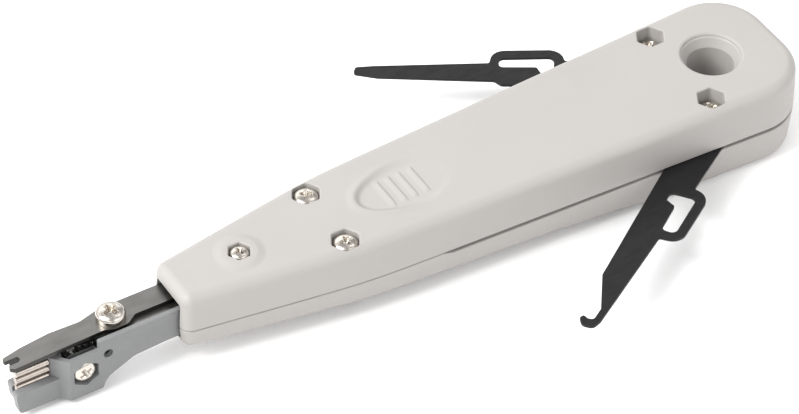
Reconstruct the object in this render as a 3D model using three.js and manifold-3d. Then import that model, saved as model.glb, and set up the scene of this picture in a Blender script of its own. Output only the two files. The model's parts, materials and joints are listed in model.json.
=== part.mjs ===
// Punch-down (insertion) tool for insulation-displacement telecom blocks: a two-shell plastic
// handle with a sprung steel head that holds a forked insertion blade, a wire scissor and a
// plastic wire sensor, and two flat blades (a hook and a release blade) that fold out of a slot.
//
// Units are millimetres. +X runs from the working tip to the rear of the handle, +Z is up and
// the hook side is -Y. The origin lies on the flat rear part of the underside, on the centre
// line. Inside the root group all heights are measured from the parting plane of the two shells.

import * as THREE from "three";
import { mergeVertices } from "three/addons/utils/BufferGeometryUtils.js";
import Module from "manifold-3d";

const wasm = await Module();
wasm.setup();

// ---------------------------------------------------------------- driving dimensions

const PARTING_Z = 9.4; // height of the parting plane over the flat rear underside
const PARTING_GAP = 0.05; // half of the hairline between the two shells

const FRONT_X = -116.3; // flat front face of the handle
const HOLE_X = 11; // axis of the hanging hole
const REAR_R = 11.6; // radius of the rear corners in plan
const SIDE_END_X = 15; // where the straight side runs into the rear corner
const FRONT_R = 2.6; // radius of the front corners in plan
const EDGE_R = 2.2; // rounding of the long edges
const DRAFT = 0.35; // how much narrower a shell is at the start of that rounding
const WALL = 2.1;

const FRONT_HALF_WIDTH = 6.5;
const TAPER_SLOPE = 0.153; // half-width gained per mm over the front third
const REAR_HALF_WIDTH = 16; // at x = 14, on the gentle rear taper
const REAR_TAPER_SLOPE = 0.0395;
const SHOULDER_BLEND = 0.4;

const TOP_AT_HOLE = 10.3; // height of the top face over the parting plane
const TOP_SLOPE = 0.0145;
const FRONT_DEPTH = 5.15; // depth of the bottom shell at its front end
const DEPTH_SLOPE = 0.0265;
const BELLY_SLOPE = 0.07; // the bottom shell deepens faster behind the middle
const REST_FRONT_X = -5; // the underside is flat from here to the rear

const SLOT_HEIGHT = 0.74; // the slot that the two blades fold into
const SLOT_FRONT_X = -60;
const BLADE_THICKNESS = 0.62;
const BLADE_TOP = -0.06;
const PIVOT = { x: 3.3, y: 10.86 }; // blade pivots, on the rear shell screws
const PIVOT_SLEEVE_R = 2.5;
const HOOK_ANGLE = 214; // direction of the hook blade in plan, degrees
const RELEASE_ANGLE = 149;

const OPENING = { halfWidth: 4.5, top: 5.8, bottom: -3.1 }; // mouth for the head
const CHANNEL = { innerY: 4.5, outerY: 5.7, rearX: -64 };

const HEAD_PIVOT = { x: -128.1, y: 0.9 }; // scissor pivot
const FORK = { top: 4.3, bottom: 3.3, tipX: -151, rearX: -88 };
const SCISSOR = { top: 3.25, bottom: 2.4 };
const HOLDER = { frontX: -130.6, halfWidth: 2.6, bottom: -1.4, top: 2.35 };
const LEAF = { rearX: -111.5, rearY: 1.2, frontX: -119.6, frontY: 0.22, thickness: 0.25 };
const SENSOR = { y: 3.9, wall: 0.95, clampX: -136.1, clampZ: -2.75 };
const SPRING = { startX: -87.97, endX: -66.03, r: 3.05, wire: 0.9, turns: 8 };
const GUIDE_ROD = { r: 1.9, startX: -92.9, endX: -62.5 }; // carries the main spring

const M25 = { shank: 1.25, headR: 2.5, headH: 1.6, nutAF: 5, nutH: 2, pocketAF: 5.4 };
const M2 = { shank: 1, headR: 1.95, headH: 1.55, nutAF: 4, nutH: 1.6, pocketAF: 4.2 };
const M3 = { shank: 1.5, headR: 2.95, headH: 2.45 };
const PIVOT_SCREW_LENGTH = 5.6;
const CONTACT_GAP = 0.02; // between pieces that bear on each other
const BORE_GAP = 0.06; // round a screw in its bore
const RIVET_GAP = 0.03; // round a rivet in its bore
const BEYOND = 30; // reaches past every outside face of the handle, for cutters

// The five screws that close the handle, each with a nut in the bottom shell.
const SHELL_SCREWS = [
  { name: "front", x: -100.3, y: 0, size: M2, headZ: 7.7, nutZ: -3.5, bossR: 3.1 },
  { name: "middle_far", x: -80.9, y: 7.5, size: M25, headZ: 7.25, nutZ: -3.4, bossR: 2.9 },
  { name: "middle_near", x: -80.9, y: -7.5, size: M25, headZ: 7.25, nutZ: -3.4, bossR: 2.9 },
  { name: "rear_far", x: PIVOT.x, y: PIVOT.y, size: M25, headZ: 6.2, nutZ: -5.4, bossR: 4.1 },
  { name: "rear_near", x: PIVOT.x, y: -PIVOT.y, size: M25, headZ: 6.2, nutZ: -5.4, bossR: 4.1 },
];

// ---------------------------------------------------------------- materials

const material = (color, roughness, metalness) =>
  new THREE.MeshStandardMaterial({ color, roughness, metalness });

const MATERIALS = {
  shell: () => material(0xdcd8d4, 0.5, 0),
  blade: () => material(0x3a3a3c, 0.55, 0),
  steel: () => material(0x77746f, 0.38, 0.9),
  nickel: () => material(0xd8d2c8, 0.22, 1),
  sensor: () => material(0x9a9b9e, 0.55, 0),
  zinc: () => material(0x8e9092, 0.5, 0.8),
  spring: () => material(0x8a8a8c, 0.3, 1),
};

// ---------------------------------------------------------------- solids and booleans

// A closed three.js geometry as a solid that can be joined and cut.
function solid(geometry) {
  const bare = geometry.index ? geometry.toNonIndexed() : geometry.clone();
  bare.deleteAttribute("normal");
  bare.deleteAttribute("uv");
  const merged = mergeVertices(bare, 1e-4);
  return new wasm.Manifold(
    new wasm.Mesh({
      numProp: 3,
      vertProperties: merged.attributes.position.array,
      triVerts: new Uint32Array(merged.index.array),
    }),
  );
}

function geometryOf(made) {
  const { vertProperties, triVerts } = made.getMesh();
  const geometry = new THREE.BufferGeometry();
  geometry.setAttribute("position", new THREE.BufferAttribute(vertProperties, 3));
  geometry.setIndex(new THREE.BufferAttribute(triVerts, 1));
  geometry.computeVertexNormals();
  return geometry;
}

const join = (...solids) => solids.reduce((sum, next) => sum.add(next));
const cut = (base, ...tools) => tools.reduce((rest, tool) => rest.subtract(tool), base);

function box(x0, x1, y0, y1, z0, z1) {
  const geometry = new THREE.BoxGeometry(x1 - x0, y1 - y0, z1 - z0);
  geometry.translate((x0 + x1) / 2, (y0 + y1) / 2, (z0 + z1) / 2);
  return solid(geometry);
}

// A round bar along "x", "y" or "z" from lo to hi, whose axis passes through (x, y, z).
function bar(axis, r, lo, hi, { x = 0, y = 0, z = 0 }, segments = 20) {
  const geometry = new THREE.CylinderGeometry(r, r, hi - lo, segments);
  const middle = (lo + hi) / 2;
  if (axis === "x") geometry.rotateZ(-Math.PI / 2).translate(middle, y, z);
  if (axis === "y") geometry.translate(x, middle, z);
  if (axis === "z") geometry.rotateX(Math.PI / 2).translate(x, y, middle);
  return solid(geometry);
}

// A hexagonal prism along "y" or "z", measured across its flats. Its corners point along X, or
// its flats do.
function hexBar(axis, acrossFlats, lo, hi, at, flatsAlongX = false) {
  const r = acrossFlats / Math.sqrt(3);
  const geometry = new THREE.CylinderGeometry(r, r, hi - lo, 6);
  geometry.rotateY(flatsAlongX ? 0 : Math.PI / 2);
  const middle = (lo + hi) / 2;
  if (axis === "y") geometry.translate(at.x, middle, at.z);
  if (axis === "z") geometry.rotateX(Math.PI / 2).translate(at.x, at.y, middle);
  return solid(geometry);
}

// A solid of revolution about the vertical through (x, y); profile is a list of [radius, height].
function turned(profile, x, y, segments = 28) {
  const points = profile.map(([r, h]) => new THREE.Vector2(r, h));
  const geometry = new THREE.LatheGeometry(points, segments);
  geometry.rotateX(Math.PI / 2).translate(x, y, 0);
  return solid(geometry);
}

// A closed path through points [x, y, corner radius], with an arc at each rounded corner.
function roundedPath(points, PathType = THREE.Shape) {
  const path = new PathType();
  const count = points.length;
  points.forEach(([x, y, radius = 0], i) => {
    const corner = new THREE.Vector2(x, y);
    const before = points[(i + count - 1) % count];
    const after = points[(i + 1) % count];
    const back = new THREE.Vector2(before[0] - x, before[1] - y).normalize();
    const ahead = new THREE.Vector2(after[0] - x, after[1] - y).normalize();
    const halfAngle = Math.acos(THREE.MathUtils.clamp(back.dot(ahead), -1, 1)) / 2;
    const reach = radius / Math.tan(halfAngle);
    const start = corner.clone().addScaledVector(back, reach);
    if (i === 0) path.moveTo(start.x, start.y);
    else path.lineTo(start.x, start.y);
    if (radius === 0) return;
    const toCentre = back.clone().add(ahead).normalize();
    const centre = corner.clone().addScaledVector(toCentre, radius / Math.sin(halfAngle));
    const end = corner.clone().addScaledVector(ahead, reach);
    const startAngle = Math.atan2(start.y - centre.y, start.x - centre.x);
    const endAngle = Math.atan2(end.y - centre.y, end.x - centre.x);
    const clockwise = back.cross(ahead) > 0;
    path.absarc(centre.x, centre.y, radius, startAngle, endAngle, clockwise);
  });
  path.closePath();
  return path;
}

// A flat plate with the plan outline given by points, between two heights.
function plate(points, bottom, top, holes = [], curveSegments = 2) {
  const shape = roundedPath(points);
  for (const hole of holes) shape.holes.push(roundedPath(hole, THREE.Path));
  const options = { depth: top - bottom, bevelEnabled: false, curveSegments };
  return solid(new THREE.ExtrudeGeometry(shape, options).translate(0, 0, bottom));
}

// ---------------------------------------------------------------- handle shells

const topHeight = (x) => TOP_AT_HOLE + TOP_SLOPE * (x - HOLE_X);

function bottomDepth(x) {
  const gentle = FRONT_DEPTH + DEPTH_SLOPE * (x - FRONT_X);
  const belly = PARTING_Z + BELLY_SLOPE * (x - REST_FRONT_X);
  return Math.min(PARTING_Z, Math.max(gentle, belly));
}

// Half-width of the handle at the parting plane: two tapers blended at the shoulder.
function halfWidth(x) {
  const front = FRONT_HALF_WIDTH + TAPER_SLOPE * (x - FRONT_X);
  const rear = REAR_HALF_WIDTH + REAR_TAPER_SLOPE * (x - SIDE_END_X);
  const weigh = (width) => Math.exp(-width / SHOULDER_BLEND);
  return -SHOULDER_BLEND * Math.log(weigh(front) + weigh(rear));
}

// Far half of the plan outline, front centre to rear centre, moved inwards by offset.
function halfOutline(offset) {
  const points = [[FRONT_X + offset, 0]];
  const frontR = Math.max(FRONT_R - offset, 0.3);
  const lean = Math.hypot(1, TAPER_SLOPE);
  const reach = offset + frontR;
  const frontCentre = [FRONT_X + reach, FRONT_HALF_WIDTH + (TAPER_SLOPE - lean) * reach];
  const sideAngle = Math.PI / 2 + Math.atan(TAPER_SLOPE);
  const FRONT_STEPS = 3;
  for (let i = 0; i <= FRONT_STEPS; i++) {
    const angle = THREE.MathUtils.lerp(Math.PI, sideAngle, i / FRONT_STEPS);
    points.push([
      frontCentre[0] + frontR * Math.cos(angle),
      frontCentre[1] + frontR * Math.sin(angle),
    ]);
  }
  const rearAngle = Math.PI / 2 + Math.atan(REAR_TAPER_SLOPE);
  const sideY = (x) => halfWidth(x) - offset * lean;
  const stretches = [
    [FRONT_X + 8, -90, 3],
    [-88, -66, 6],
    [-60, REST_FRONT_X, 7],
    [REST_FRONT_X + 8, SIDE_END_X - 4, 1],
  ];
  for (const [from, to, steps] of stretches)
    for (let i = 0; i <= steps; i++) {
      const x = THREE.MathUtils.lerp(from, to, i / steps);
      points.push([x, sideY(x)]);
    }
  const rearCentre = [
    SIDE_END_X - REAR_R * Math.cos(rearAngle),
    halfWidth(SIDE_END_X) - REAR_R * Math.sin(rearAngle),
  ];
  const REAR_STEPS = 9;
  for (let i = 0; i <= REAR_STEPS; i++) {
    const angle = THREE.MathUtils.lerp(rearAngle, 0, i / REAR_STEPS);
    points.push([
      rearCentre[0] + (REAR_R - offset) * Math.cos(angle),
      rearCentre[1] + (REAR_R - offset) * Math.sin(angle),
    ]);
  }
  points.push([rearCentre[0] + REAR_R - offset, 0]);
  return points;
}

// A solid stacked from plan outlines; each level has an inward offset and a height over x.
function stacked(levels) {
  const positions = [];
  const push = (...corners) => corners.forEach((corner) => positions.push(...corner));
  const rings = levels.map(({ offset, height }) => {
    const half = halfOutline(offset);
    const lift = (x, y) => [x, y, height(x)];
    return {
      far: half.map(([x, y]) => lift(x, y)),
      near: half.map(([x, y]) => lift(x, -y)),
    };
  });
  const steps = rings[0].far.length - 1;
  const bottom = rings[0];
  const top = rings[rings.length - 1];
  for (let i = 0; i < steps; i++) {
    for (let k = 0; k + 1 < rings.length; k++) {
      const [low, high] = [rings[k], rings[k + 1]];
      push(low.far[i], high.far[i], high.far[i + 1]);
      push(low.far[i], high.far[i + 1], low.far[i + 1]);
      push(low.near[i], high.near[i + 1], high.near[i]);
      push(low.near[i], low.near[i + 1], high.near[i + 1]);
    }
    if (i > 0) {
      push(top.far[i], top.near[i], top.near[i + 1]);
      push(bottom.far[i], bottom.near[i + 1], bottom.near[i]);
    }
    if (i + 1 < steps) {
      push(top.far[i], top.near[i + 1], top.far[i + 1]);
      push(bottom.far[i], bottom.far[i + 1], bottom.near[i + 1]);
    }
  }
  const geometry = new THREE.BufferGeometry();
  geometry.setAttribute("position", new THREE.Float32BufferAttribute(positions, 3));
  return solid(geometry);
}

// Levels of a shell from the parting plane to its outer face. sign is 1 for the top shell.
function shellLevels(sign, outerFace, { inset = 0, start = PARTING_GAP, edge = EDGE_R }) {
  const levels = [{ offset: inset, height: () => sign * start }];
  const EDGE_STEPS = 3;
  for (let i = 0; i <= EDGE_STEPS; i++) {
    const angle = (i / EDGE_STEPS) * (Math.PI / 2);
    const offset = inset + DRAFT + edge * (1 - Math.cos(angle));
    const drop = inset + edge * (1 - Math.sin(angle));
    levels.push({ offset, height: (x) => sign * (outerFace(x) - drop) });
  }
  return sign > 0 ? levels : levels.reverse();
}

const shellBody = (sign, face) => stacked(shellLevels(sign, face, {}));

const shellCavity = (sign, face) =>
  stacked(shellLevels(sign, face, { inset: WALL, start: -1, edge: 0.6 }));

// From a distance off the parting plane to past the outer face of the top or bottom shell.
const outwards = (sign, start) => (sign > 0 ? [start, BEYOND] : [-BEYOND, -start]);

// Ribs that guide the head along the channel, and the wall that the main spring bears on.
function channelRibs(sign, face) {
  const [lo, hi] = outwards(sign, PARTING_GAP);
  const ribs = [1, -1].map((side) => {
    const ys = [side * CHANNEL.innerY, side * CHANNEL.outerY].sort((a, b) => a - b);
    return box(FRONT_X + 6, CHANNEL.rearX, ys[0], ys[1], lo, hi);
  });
  const stop = cut(
    box(CHANNEL.rearX - 2, CHANNEL.rearX, -CHANNEL.outerY, CHANNEL.outerY, lo, hi),
    bar("x", GUIDE_ROD.r + 0.4, CHANNEL.rearX - 3, CHANNEL.rearX + 1, {}),
  );
  return join(...ribs, stop).intersect(shellBody(sign, face));
}

// The front screw's two bosses stop short of the parting plane: the head slides between them.
const FRONT_BOSS_START = { top: 5.1, bottom: 3.2 };

function screwBosses(sign, face) {
  const frontStart = sign > 0 ? FRONT_BOSS_START.top : FRONT_BOSS_START.bottom;
  const bosses = SHELL_SCREWS.map(({ name, x, y, bossR }) => {
    const start = name === "front" ? frontStart : PARTING_GAP;
    return bar("z", bossR, ...outwards(sign, start), { x, y });
  });
  return join(...bosses).intersect(shellBody(sign, face));
}

const TUBE_R = 7.2; // outside of the wall around the hanging hole
const BORE_R = 4.9;

function hangingTube(sign, face) {
  const tube = bar("z", TUBE_R, ...outwards(sign, PARTING_GAP), { x: HOLE_X }, 40);
  return tube.intersect(shellBody(sign, face));
}

// Through hole with a steep cone at the top and a small chamfer underneath.
function hangingHole() {
  const top = TOP_AT_HOLE;
  const bottom = -PARTING_Z;
  const profile = [
    [0, bottom - 2],
    [BORE_R + 2.4, bottom - 2],
    [BORE_R + 0.5, bottom],
    [BORE_R, bottom + 0.6],
    [BORE_R, top - 2.5],
    [BORE_R + 1.3, top - 0.3],
    [BORE_R + 1.9, top + 0.3],
    [BORE_R + 1.9, top + 2],
    [0, top + 2],
  ];
  return turned(profile, HOLE_X, 0, 40);
}

// A scooped thumb rest: deepest at its front edge, where a low crescent lip stands round it,
// and running out to the rear. Four ribs cross its floor.
const THUMB = { x: -64, y: -0.3, length: 11.4, width: 7, rearX: -54, slope: 0.035 };
const THUMB_RIBS = { xs: [-67.5, -64.8, -62.3, -59.7], r: 0.3, halfLength: 3.7 };
const LIP = { height: 0.32, outside: 0.6, thickness: 2.2 };

function ellipsePlate(x, y, length, width, bottom, top) {
  const outline = new THREE.Shape();
  outline.absellipse(x, y, length, width, 0, 2 * Math.PI, false);
  const options = { depth: top - bottom, bevelEnabled: false, curveSegments: 16 };
  return new THREE.ExtrudeGeometry(outline, options).translate(0, 0, bottom);
}

function thumbScoop() {
  const { x, y, length, width, rearX, slope } = THUMB;
  const geometry = ellipsePlate(x, y, length, width, 0, 10);
  geometry.translate(-rearX, 0, 0).rotateY(-Math.atan(slope + TOP_SLOPE));
  geometry.translate(rearX, 0, topHeight(rearX));
  const { xs, r, halfLength } = THUMB_RIBS;
  const ribs = xs.map((ribX) => {
    const floor = topHeight(ribX) - slope * (rearX - ribX);
    return bar("y", r, y - halfLength, y + halfLength, { x: ribX, z: floor }, 12);
  });
  return cut(solid(geometry), ...ribs);
}

function thumbLip() {
  const { x, y, length, width } = THUMB;
  const { height, outside, thickness } = LIP;
  const top = topHeight(x - length) + height;
  const a = length + outside;
  const b = width + outside;
  return cut(
    solid(ellipsePlate(x, y, a, b, top - 1, top)),
    solid(ellipsePlate(x + thickness, y, a, b, top - 2, top + 1)),
  );
}

// The ramp that swings the scissor's tail as the head slides in.
const RAMP = { startX: -112.85, rearX: -108, y: -2.74, slope: 0.31 };

function scissorRamp() {
  const { startX, rearX, y, slope } = RAMP;
  const outline = [
    [startX, y],
    [rearX, y],
    [rearX, y + slope * (rearX - startX)],
  ];
  return plate(outline, SCISSOR.bottom + 0.1, 9);
}

// The low cone that stands round the front screw's pocket.
const PLINTH = { baseR: 4.9, topR: 3.5, height: 0.45, root: 1 };

function screwPlinth() {
  const { x, y } = SHELL_SCREWS[0];
  const { baseR, topR, height, root } = PLINTH;
  const base = topHeight(x);
  const profile = [
    [0, base - root],
    [baseR, base - root],
    [baseR, base - 0.08],
    [topR, base + height],
    [0, base + height],
  ];
  return turned(profile, x, y);
}

const SHELL_BORE_GAP = 0.15; // round a shell screw or nut
const MOUTH_REAR_X = FRONT_X + 7;

function topShell() {
  const face = topHeight;
  const hollow = cut(shellBody(1, face), shellCavity(1, face));
  const ramp = scissorRamp().intersect(shellBody(1, face));
  const body = join(
    hollow,
    channelRibs(1, face),
    screwBosses(1, face),
    hangingTube(1, face),
    screwPlinth(),
    thumbLip(),
    ramp,
  );
  const tools = SHELL_SCREWS.flatMap(({ x, y, size, headZ }) => [
    bar("z", size.shank + SHELL_BORE_GAP, -BEYOND, BEYOND, { x, y }),
    hexBar("z", size.pocketAF, headZ, BEYOND, { x, y }),
  ]);
  const { halfWidth: y, top } = OPENING;
  const mouth = box(FRONT_X - 1, MOUTH_REAR_X, -y, y, -1, top);
  return cut(body, ...tools, mouth.subtract(ramp), hangingHole(), thumbScoop());
}

function bottomShell() {
  const face = bottomDepth;
  const slot = box(SLOT_FRONT_X, HOLE_X + BEYOND, -BEYOND, BEYOND, -SLOT_HEIGHT, 1);
  const hollow = cut(shellBody(-1, face), shellCavity(-1, face));
  const slotted = cut(join(hollow, screwBosses(-1, face)), slot);
  const body = join(slotted, channelRibs(-1, face), hangingTube(-1, face));
  const tools = SHELL_SCREWS.flatMap(({ x, y, size, nutZ }) => [
    bar("z", size.shank + SHELL_BORE_GAP, -BEYOND, BEYOND, { x, y }),
    hexBar("z", size.nutAF + SHELL_BORE_GAP, -BEYOND, nutZ, { x, y }),
  ]);
  const { halfWidth: y, bottom } = OPENING;
  const mouth = box(FRONT_X - 1, MOUTH_REAR_X, -y, y, bottom, 1);
  return cut(body, ...tools, mouth, hangingHole());
}

// ---------------------------------------------------------------- fasteners

// Pan head with its seat at height 0, a shank below it and a cross recess on top.
function panScrew({ shank, headR, headH }, length) {
  const profile = [
    [0, -length],
    [shank - 0.2, -length],
    [shank, -length + 0.3],
    [shank, 0],
    [headR - 0.1, 0],
    [headR, headH * 0.35],
    [headR * 0.86, headH * 0.75],
    [headR * 0.5, headH * 0.96],
    [0, headH],
  ];
  const arm = headR * 0.5;
  const wing = headR * 0.14;
  const floor = headH * 0.35;
  return cut(
    turned(profile, 0, 0, 20),
    box(-arm, arm, -wing, wing, floor, headH + 1),
    box(-wing, wing, -arm, arm, floor, headH + 1),
  );
}

function hexNut(acrossFlats, height, holeR) {
  const centre = { x: 0, y: 0 };
  return cut(
    hexBar("z", acrossFlats, 0, height, centre),
    bar("z", holeR, -1, height + 1, centre),
  );
}

// ---------------------------------------------------------------- fold-out blades

// Outlines run along u from the pivot and w towards the finger loop.
const ROOT_R = 4.2;

const HOOK_OUTLINE = [
  [0, 0],
  [0, -ROOT_R],
  [46.6, -4.2, 1],
  [55.5, -0.9, 1.5],
  [58.7, -1.1, 0.7],
  [59.0, -2.2, 0.6],
  [58.5, -3.3, 0.3],
  [59.4, -3.8, 0.5],
  [61, -2.7, 1.3],
  [60.7, -0.4, 1.3],
  [58.6, 0.3, 0.8],
  [32, 2.1, 0.5],
  [31.4, 6.45, 3.2],
  [16.4, 7, 3.2],
  [16.1, 3.4, 0.6],
  [0, ROOT_R],
];

const HOOK_LOOP = [
  [18.4, 4.9, 1.2],
  [29.8, 4.6, 1.3],
  [29.8, 1.6, 1],
  [22.4, 1.6, 0.6],
  [21.4, -0.6, 0.6],
  [18.9, -0.6, 1.2],
];

const RELEASE_OUTLINE = [
  [0, 0],
  [0, -ROOT_R],
  [24, -3.9],
  [30.3, -3.85, 1],
  [31.7, -2.55, 0.8],
  [55.8, -1.85, 0.8],
  [60.9, -0.8, 0.7],
  [60.4, 1.1, 0.7],
  [56.5, 1.5, 0.8],
  [32.6, 2.75, 0.5],
  [31.8, 6.6, 3.2],
  [17.2, 7.1, 3.2],
  [16.9, 3.6, 0.6],
  [0, ROOT_R],
];

const RELEASE_LOOP = [
  [19, 4.8, 1.2],
  [30.6, 4.3, 1.3],
  [30.6, 1.5, 0.9],
  [22.8, 1.6, 0.6],
  [21.9, -0.4, 0.6],
  [19.3, -0.5, 1.2],
];

function foldingBlade(outline, loop) {
  const root = bar("z", ROOT_R, 0, BLADE_THICKNESS, {}, 28);
  const arm = plate(outline, 0, BLADE_THICKNESS, [loop]);
  return cut(join(root, arm), bar("z", PIVOT_SLEEVE_R + 0.08, -1, 2, {}, 28));
}

// ---------------------------------------------------------------- head

const SCREW_SLOT = { x0: -106.5, x1: -99.15, halfWidth: 1.25 };
const RIVET_R = 1;
const RIVETS = [
  { name: "holder_rivet", x: -109.8, y: 1.1, bottom: 2.5 },
  { name: "plunger_rivet_far", x: -91.5, y: 2.4, bottom: 2.3 },
  { name: "plunger_rivet_near", x: -91.5, y: -2.4, bottom: 2.3 },
];

// The steel insertion blade: notched tip, lug round the scissor pivot, long shank.
function forkBlade() {
  const { tipX, rearX, top, bottom } = FORK;
  const outline = [
    [tipX + 0.1, 0.65, 0.2],
    [tipX, 1.6, 0.3],
    [tipX + 4.1, 2.45],
    [tipX + 10.6, 3.15],
    [-133.8, 2.93, 2],
    [-129.2, 4.1, 2.5],
    [tipX + 27, 4.2],
    [rearX, 4.2],
    [rearX, -3.9],
    [-102.9, -3.9],
    [-102.9, -2.6],
    [-107.4, -2.6],
    [-107.4, -0.55],
    [-116.3, -0.65],
    [-123.6, -0.6, 1],
    [-126, -2.2, 1.8],
    [-128.8, -2.2, 1.8],
    [-130.8, -1.45, 1.5],
    [tipX + 8.6, -1.75],
    [tipX + 0.9, -2, 0.3],
    [tipX + 0.15, -1.45, 0.2],
    [tipX + 0.25, -0.7, 0.2],
    [tipX + 2.3, -0.7, 0.3],
    [tipX + 2.85, -0.2, 0.3],
    [tipX + 2.85, 0.65, 0.3],
  ];
  const body = plate(outline, bottom, top);
  const { x0, x1, halfWidth: y } = SCREW_SLOT;
  return cut(
    body,
    box(x0 + y, x1 - y, -y, y, 0, 8),
    bar("z", y, 0, 8, { x: x0 + y }),
    bar("z", y, 0, 8, { x: x1 - y }),
    bar("z", M3.shank + BORE_GAP, 0, 8, HEAD_PIVOT),
    ...RIVETS.map((at) => bar("z", RIVET_R + RIVET_GAP, 0, 8, at)),
  );
}

// The moving cutter under the insertion blade; its tail reaches back to the ramp.
function scissorBlade() {
  const outline = [
    [-149.8, 0.95, 0.1],
    [-149.7, 1.45, 0.2],
    [-140.3, 2.7, 3],
    [-133, 2.6, 3],
    [-130, 3.6, 1.5],
    [-126, 3.6, 1.5],
    [-121, 0.4, 2],
    [-113, -1.2, 0.3],
    [-113, -2.55, 0.3],
    [-127, -2.4],
    [-131, -1.7],
  ];
  const body = plate(outline, SCISSOR.bottom, SCISSOR.top);
  return cut(body, bar("z", M3.shank + BORE_GAP, 0, 8, HEAD_PIVOT));
}

// Strip of spring steel on edge, held in the holder, that swings the scissor open again.
function leafSpring() {
  const { rearX, rearY, frontX, frontY, thickness } = LEAF;
  const outline = [
    [rearX, rearY],
    [rearX, rearY + thickness],
    [frontX, frontY + thickness],
    [frontX, frontY],
  ];
  return plate(outline, SCISSOR.bottom + 0.02, SCISSOR.top - 0.05);
}

// Die-cast block that carries the pivot screw; its raised rear is riveted under the blade and
// slotted for the end of the return spring.
const HOLDER_REAR_X = -107;
const HOLDER_RISE = { frontX: -112.4, nearY: -0.4 };

function bladeHolder() {
  const { frontX, halfWidth: y, bottom, top } = HOLDER;
  const { frontX: riseX, nearY } = HOLDER_RISE;
  const { rearX: leafX, rearY: leafY } = LEAF;
  const body = join(
    box(frontX, HOLDER_REAR_X, -y, y, bottom, top),
    box(riseX, HOLDER_REAR_X, nearY, y, top - 0.1, FORK.bottom - CONTACT_GAP),
  );
  return cut(
    body,
    bar("z", M3.shank + BORE_GAP, -6, 8, HEAD_PIVOT),
    box(riseX - 0.1, leafX + 0.05, leafY - 0.12, leafY + 0.3, top, 8),
    bar("z", RIVET_R + RIVET_GAP, RIVETS[0].bottom - 0.1, 8, RIVETS[0]),
  );
}

// Rear block of the head: the main spring pushes on it, and the guide rod is fixed in it.
const PLUNGER = { frontX: -95, halfWidth: 4, bottom: -2.6 };

function plungerBlock() {
  const { frontX, halfWidth: y, bottom } = PLUNGER;
  const body = box(frontX, FORK.rearX, -y, y, bottom, FORK.bottom - CONTACT_GAP);
  return cut(
    body,
    bar("x", GUIDE_ROD.r + RIVET_GAP, GUIDE_ROD.startX - 0.1, FORK.rearX + 8, {}),
    ...RIVETS.slice(1).map((at) => bar("z", RIVET_R + RIVET_GAP, at.bottom - 0.05, 8, at)),
  );
}

function rivet({ x, y, bottom }) {
  const seat = FORK.top + CONTACT_GAP;
  const profile = [
    [0, bottom],
    [RIVET_R, bottom],
    [RIVET_R, seat],
    [1.7, seat],
    [1.4, seat + 0.5],
    [0, seat + 0.7],
  ];
  return turned(profile, x, y, 16);
}

// A coil spring along X with its wire a closed tube.
function coilSpring({ startX, y = 0, z = 0, r, wire, turns }, endX, stepsPerTurn) {
  class Helix extends THREE.Curve {
    getPoint(t, target = new THREE.Vector3()) {
      const angle = 2 * Math.PI * turns * t;
      const along = THREE.MathUtils.lerp(startX + wire / 2, endX - wire / 2, t);
      return target.set(along, y + r * Math.cos(angle), z + r * Math.sin(angle));
    }
  }
  const section = new THREE.Shape();
  section.absarc(0, 0, wire / 2, 0, 2 * Math.PI, false);
  return solid(
    new THREE.ExtrudeGeometry(section, {
      steps: Math.round(turns * stepsPerTurn),
      curveSegments: 3,
      extrudePath: new Helix(),
    }),
  );
}

// ---------------------------------------------------------------- wire sensor

const SENSOR_STEP_X = -133.2;
const SENSOR_REAR_X = -105.9;
const SENSOR_NOSE_X = -142.2;
const SENSOR_TOP = 4.35;
const SENSOR_LOW_TOP = 2.05; // top of the nose and of the far wall
const SENSOR_BOTTOM = -8.3;
const SENSOR_HOOK = { frontX: -106.9, innerY: 2, bottom: -2.6 }; // catches behind the holder
const SENSOR_SPRING = { startX: -138.9, y: 1, z: 0.6, r: 1.3, wire: 0.4, turns: 6 };
const STUD_HOLE = { x: -131.3, z: 0.4, r: 1, floor: 0.3 };
const ROD = { r: 0.8, y: 0.25, frontX: -149.2, rearX: -139.6 };
const ROD_HEIGHTS = { sensor_rod_lower: -3.35, sensor_rod_middle: -1.5, sensor_rod_upper: 0.35 };
const CLAMP_SEAT_Y = -2.3; // pocket floor under the clamp screw's head
const CLAMP_POCKET_AF = 5.3;
// The near wall is thicker behind that pocket.
const CLAMP_PAD = { frontX: -139.2, rearX: -133.2, innerY: -1.6, bottom: -6.3, top: 1.6 };
const LEGS = [
  { tipX: -150.3, y0: -2.3, y1: -0.6, top: -2.9, bottom: -8 },
  { tipX: -149.6, y0: 1.15, y1: 3.05, top: -3.5, bottom: -8 },
];
const RECESS = { wall: 0.95, floor: 1.5 }; // shallow recess in the top, ahead of the trough

// Side profile of the sensor in x and height, extruded across the tool.
function sensorProfile(points, y0, y1) {
  const shape = roundedPath(points);
  const options = { depth: y1 - y0, bevelEnabled: false, curveSegments: 3 };
  const geometry = new THREE.ExtrudeGeometry(shape, options);
  return solid(geometry.rotateX(Math.PI / 2).translate(0, y1, 0));
}

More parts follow.
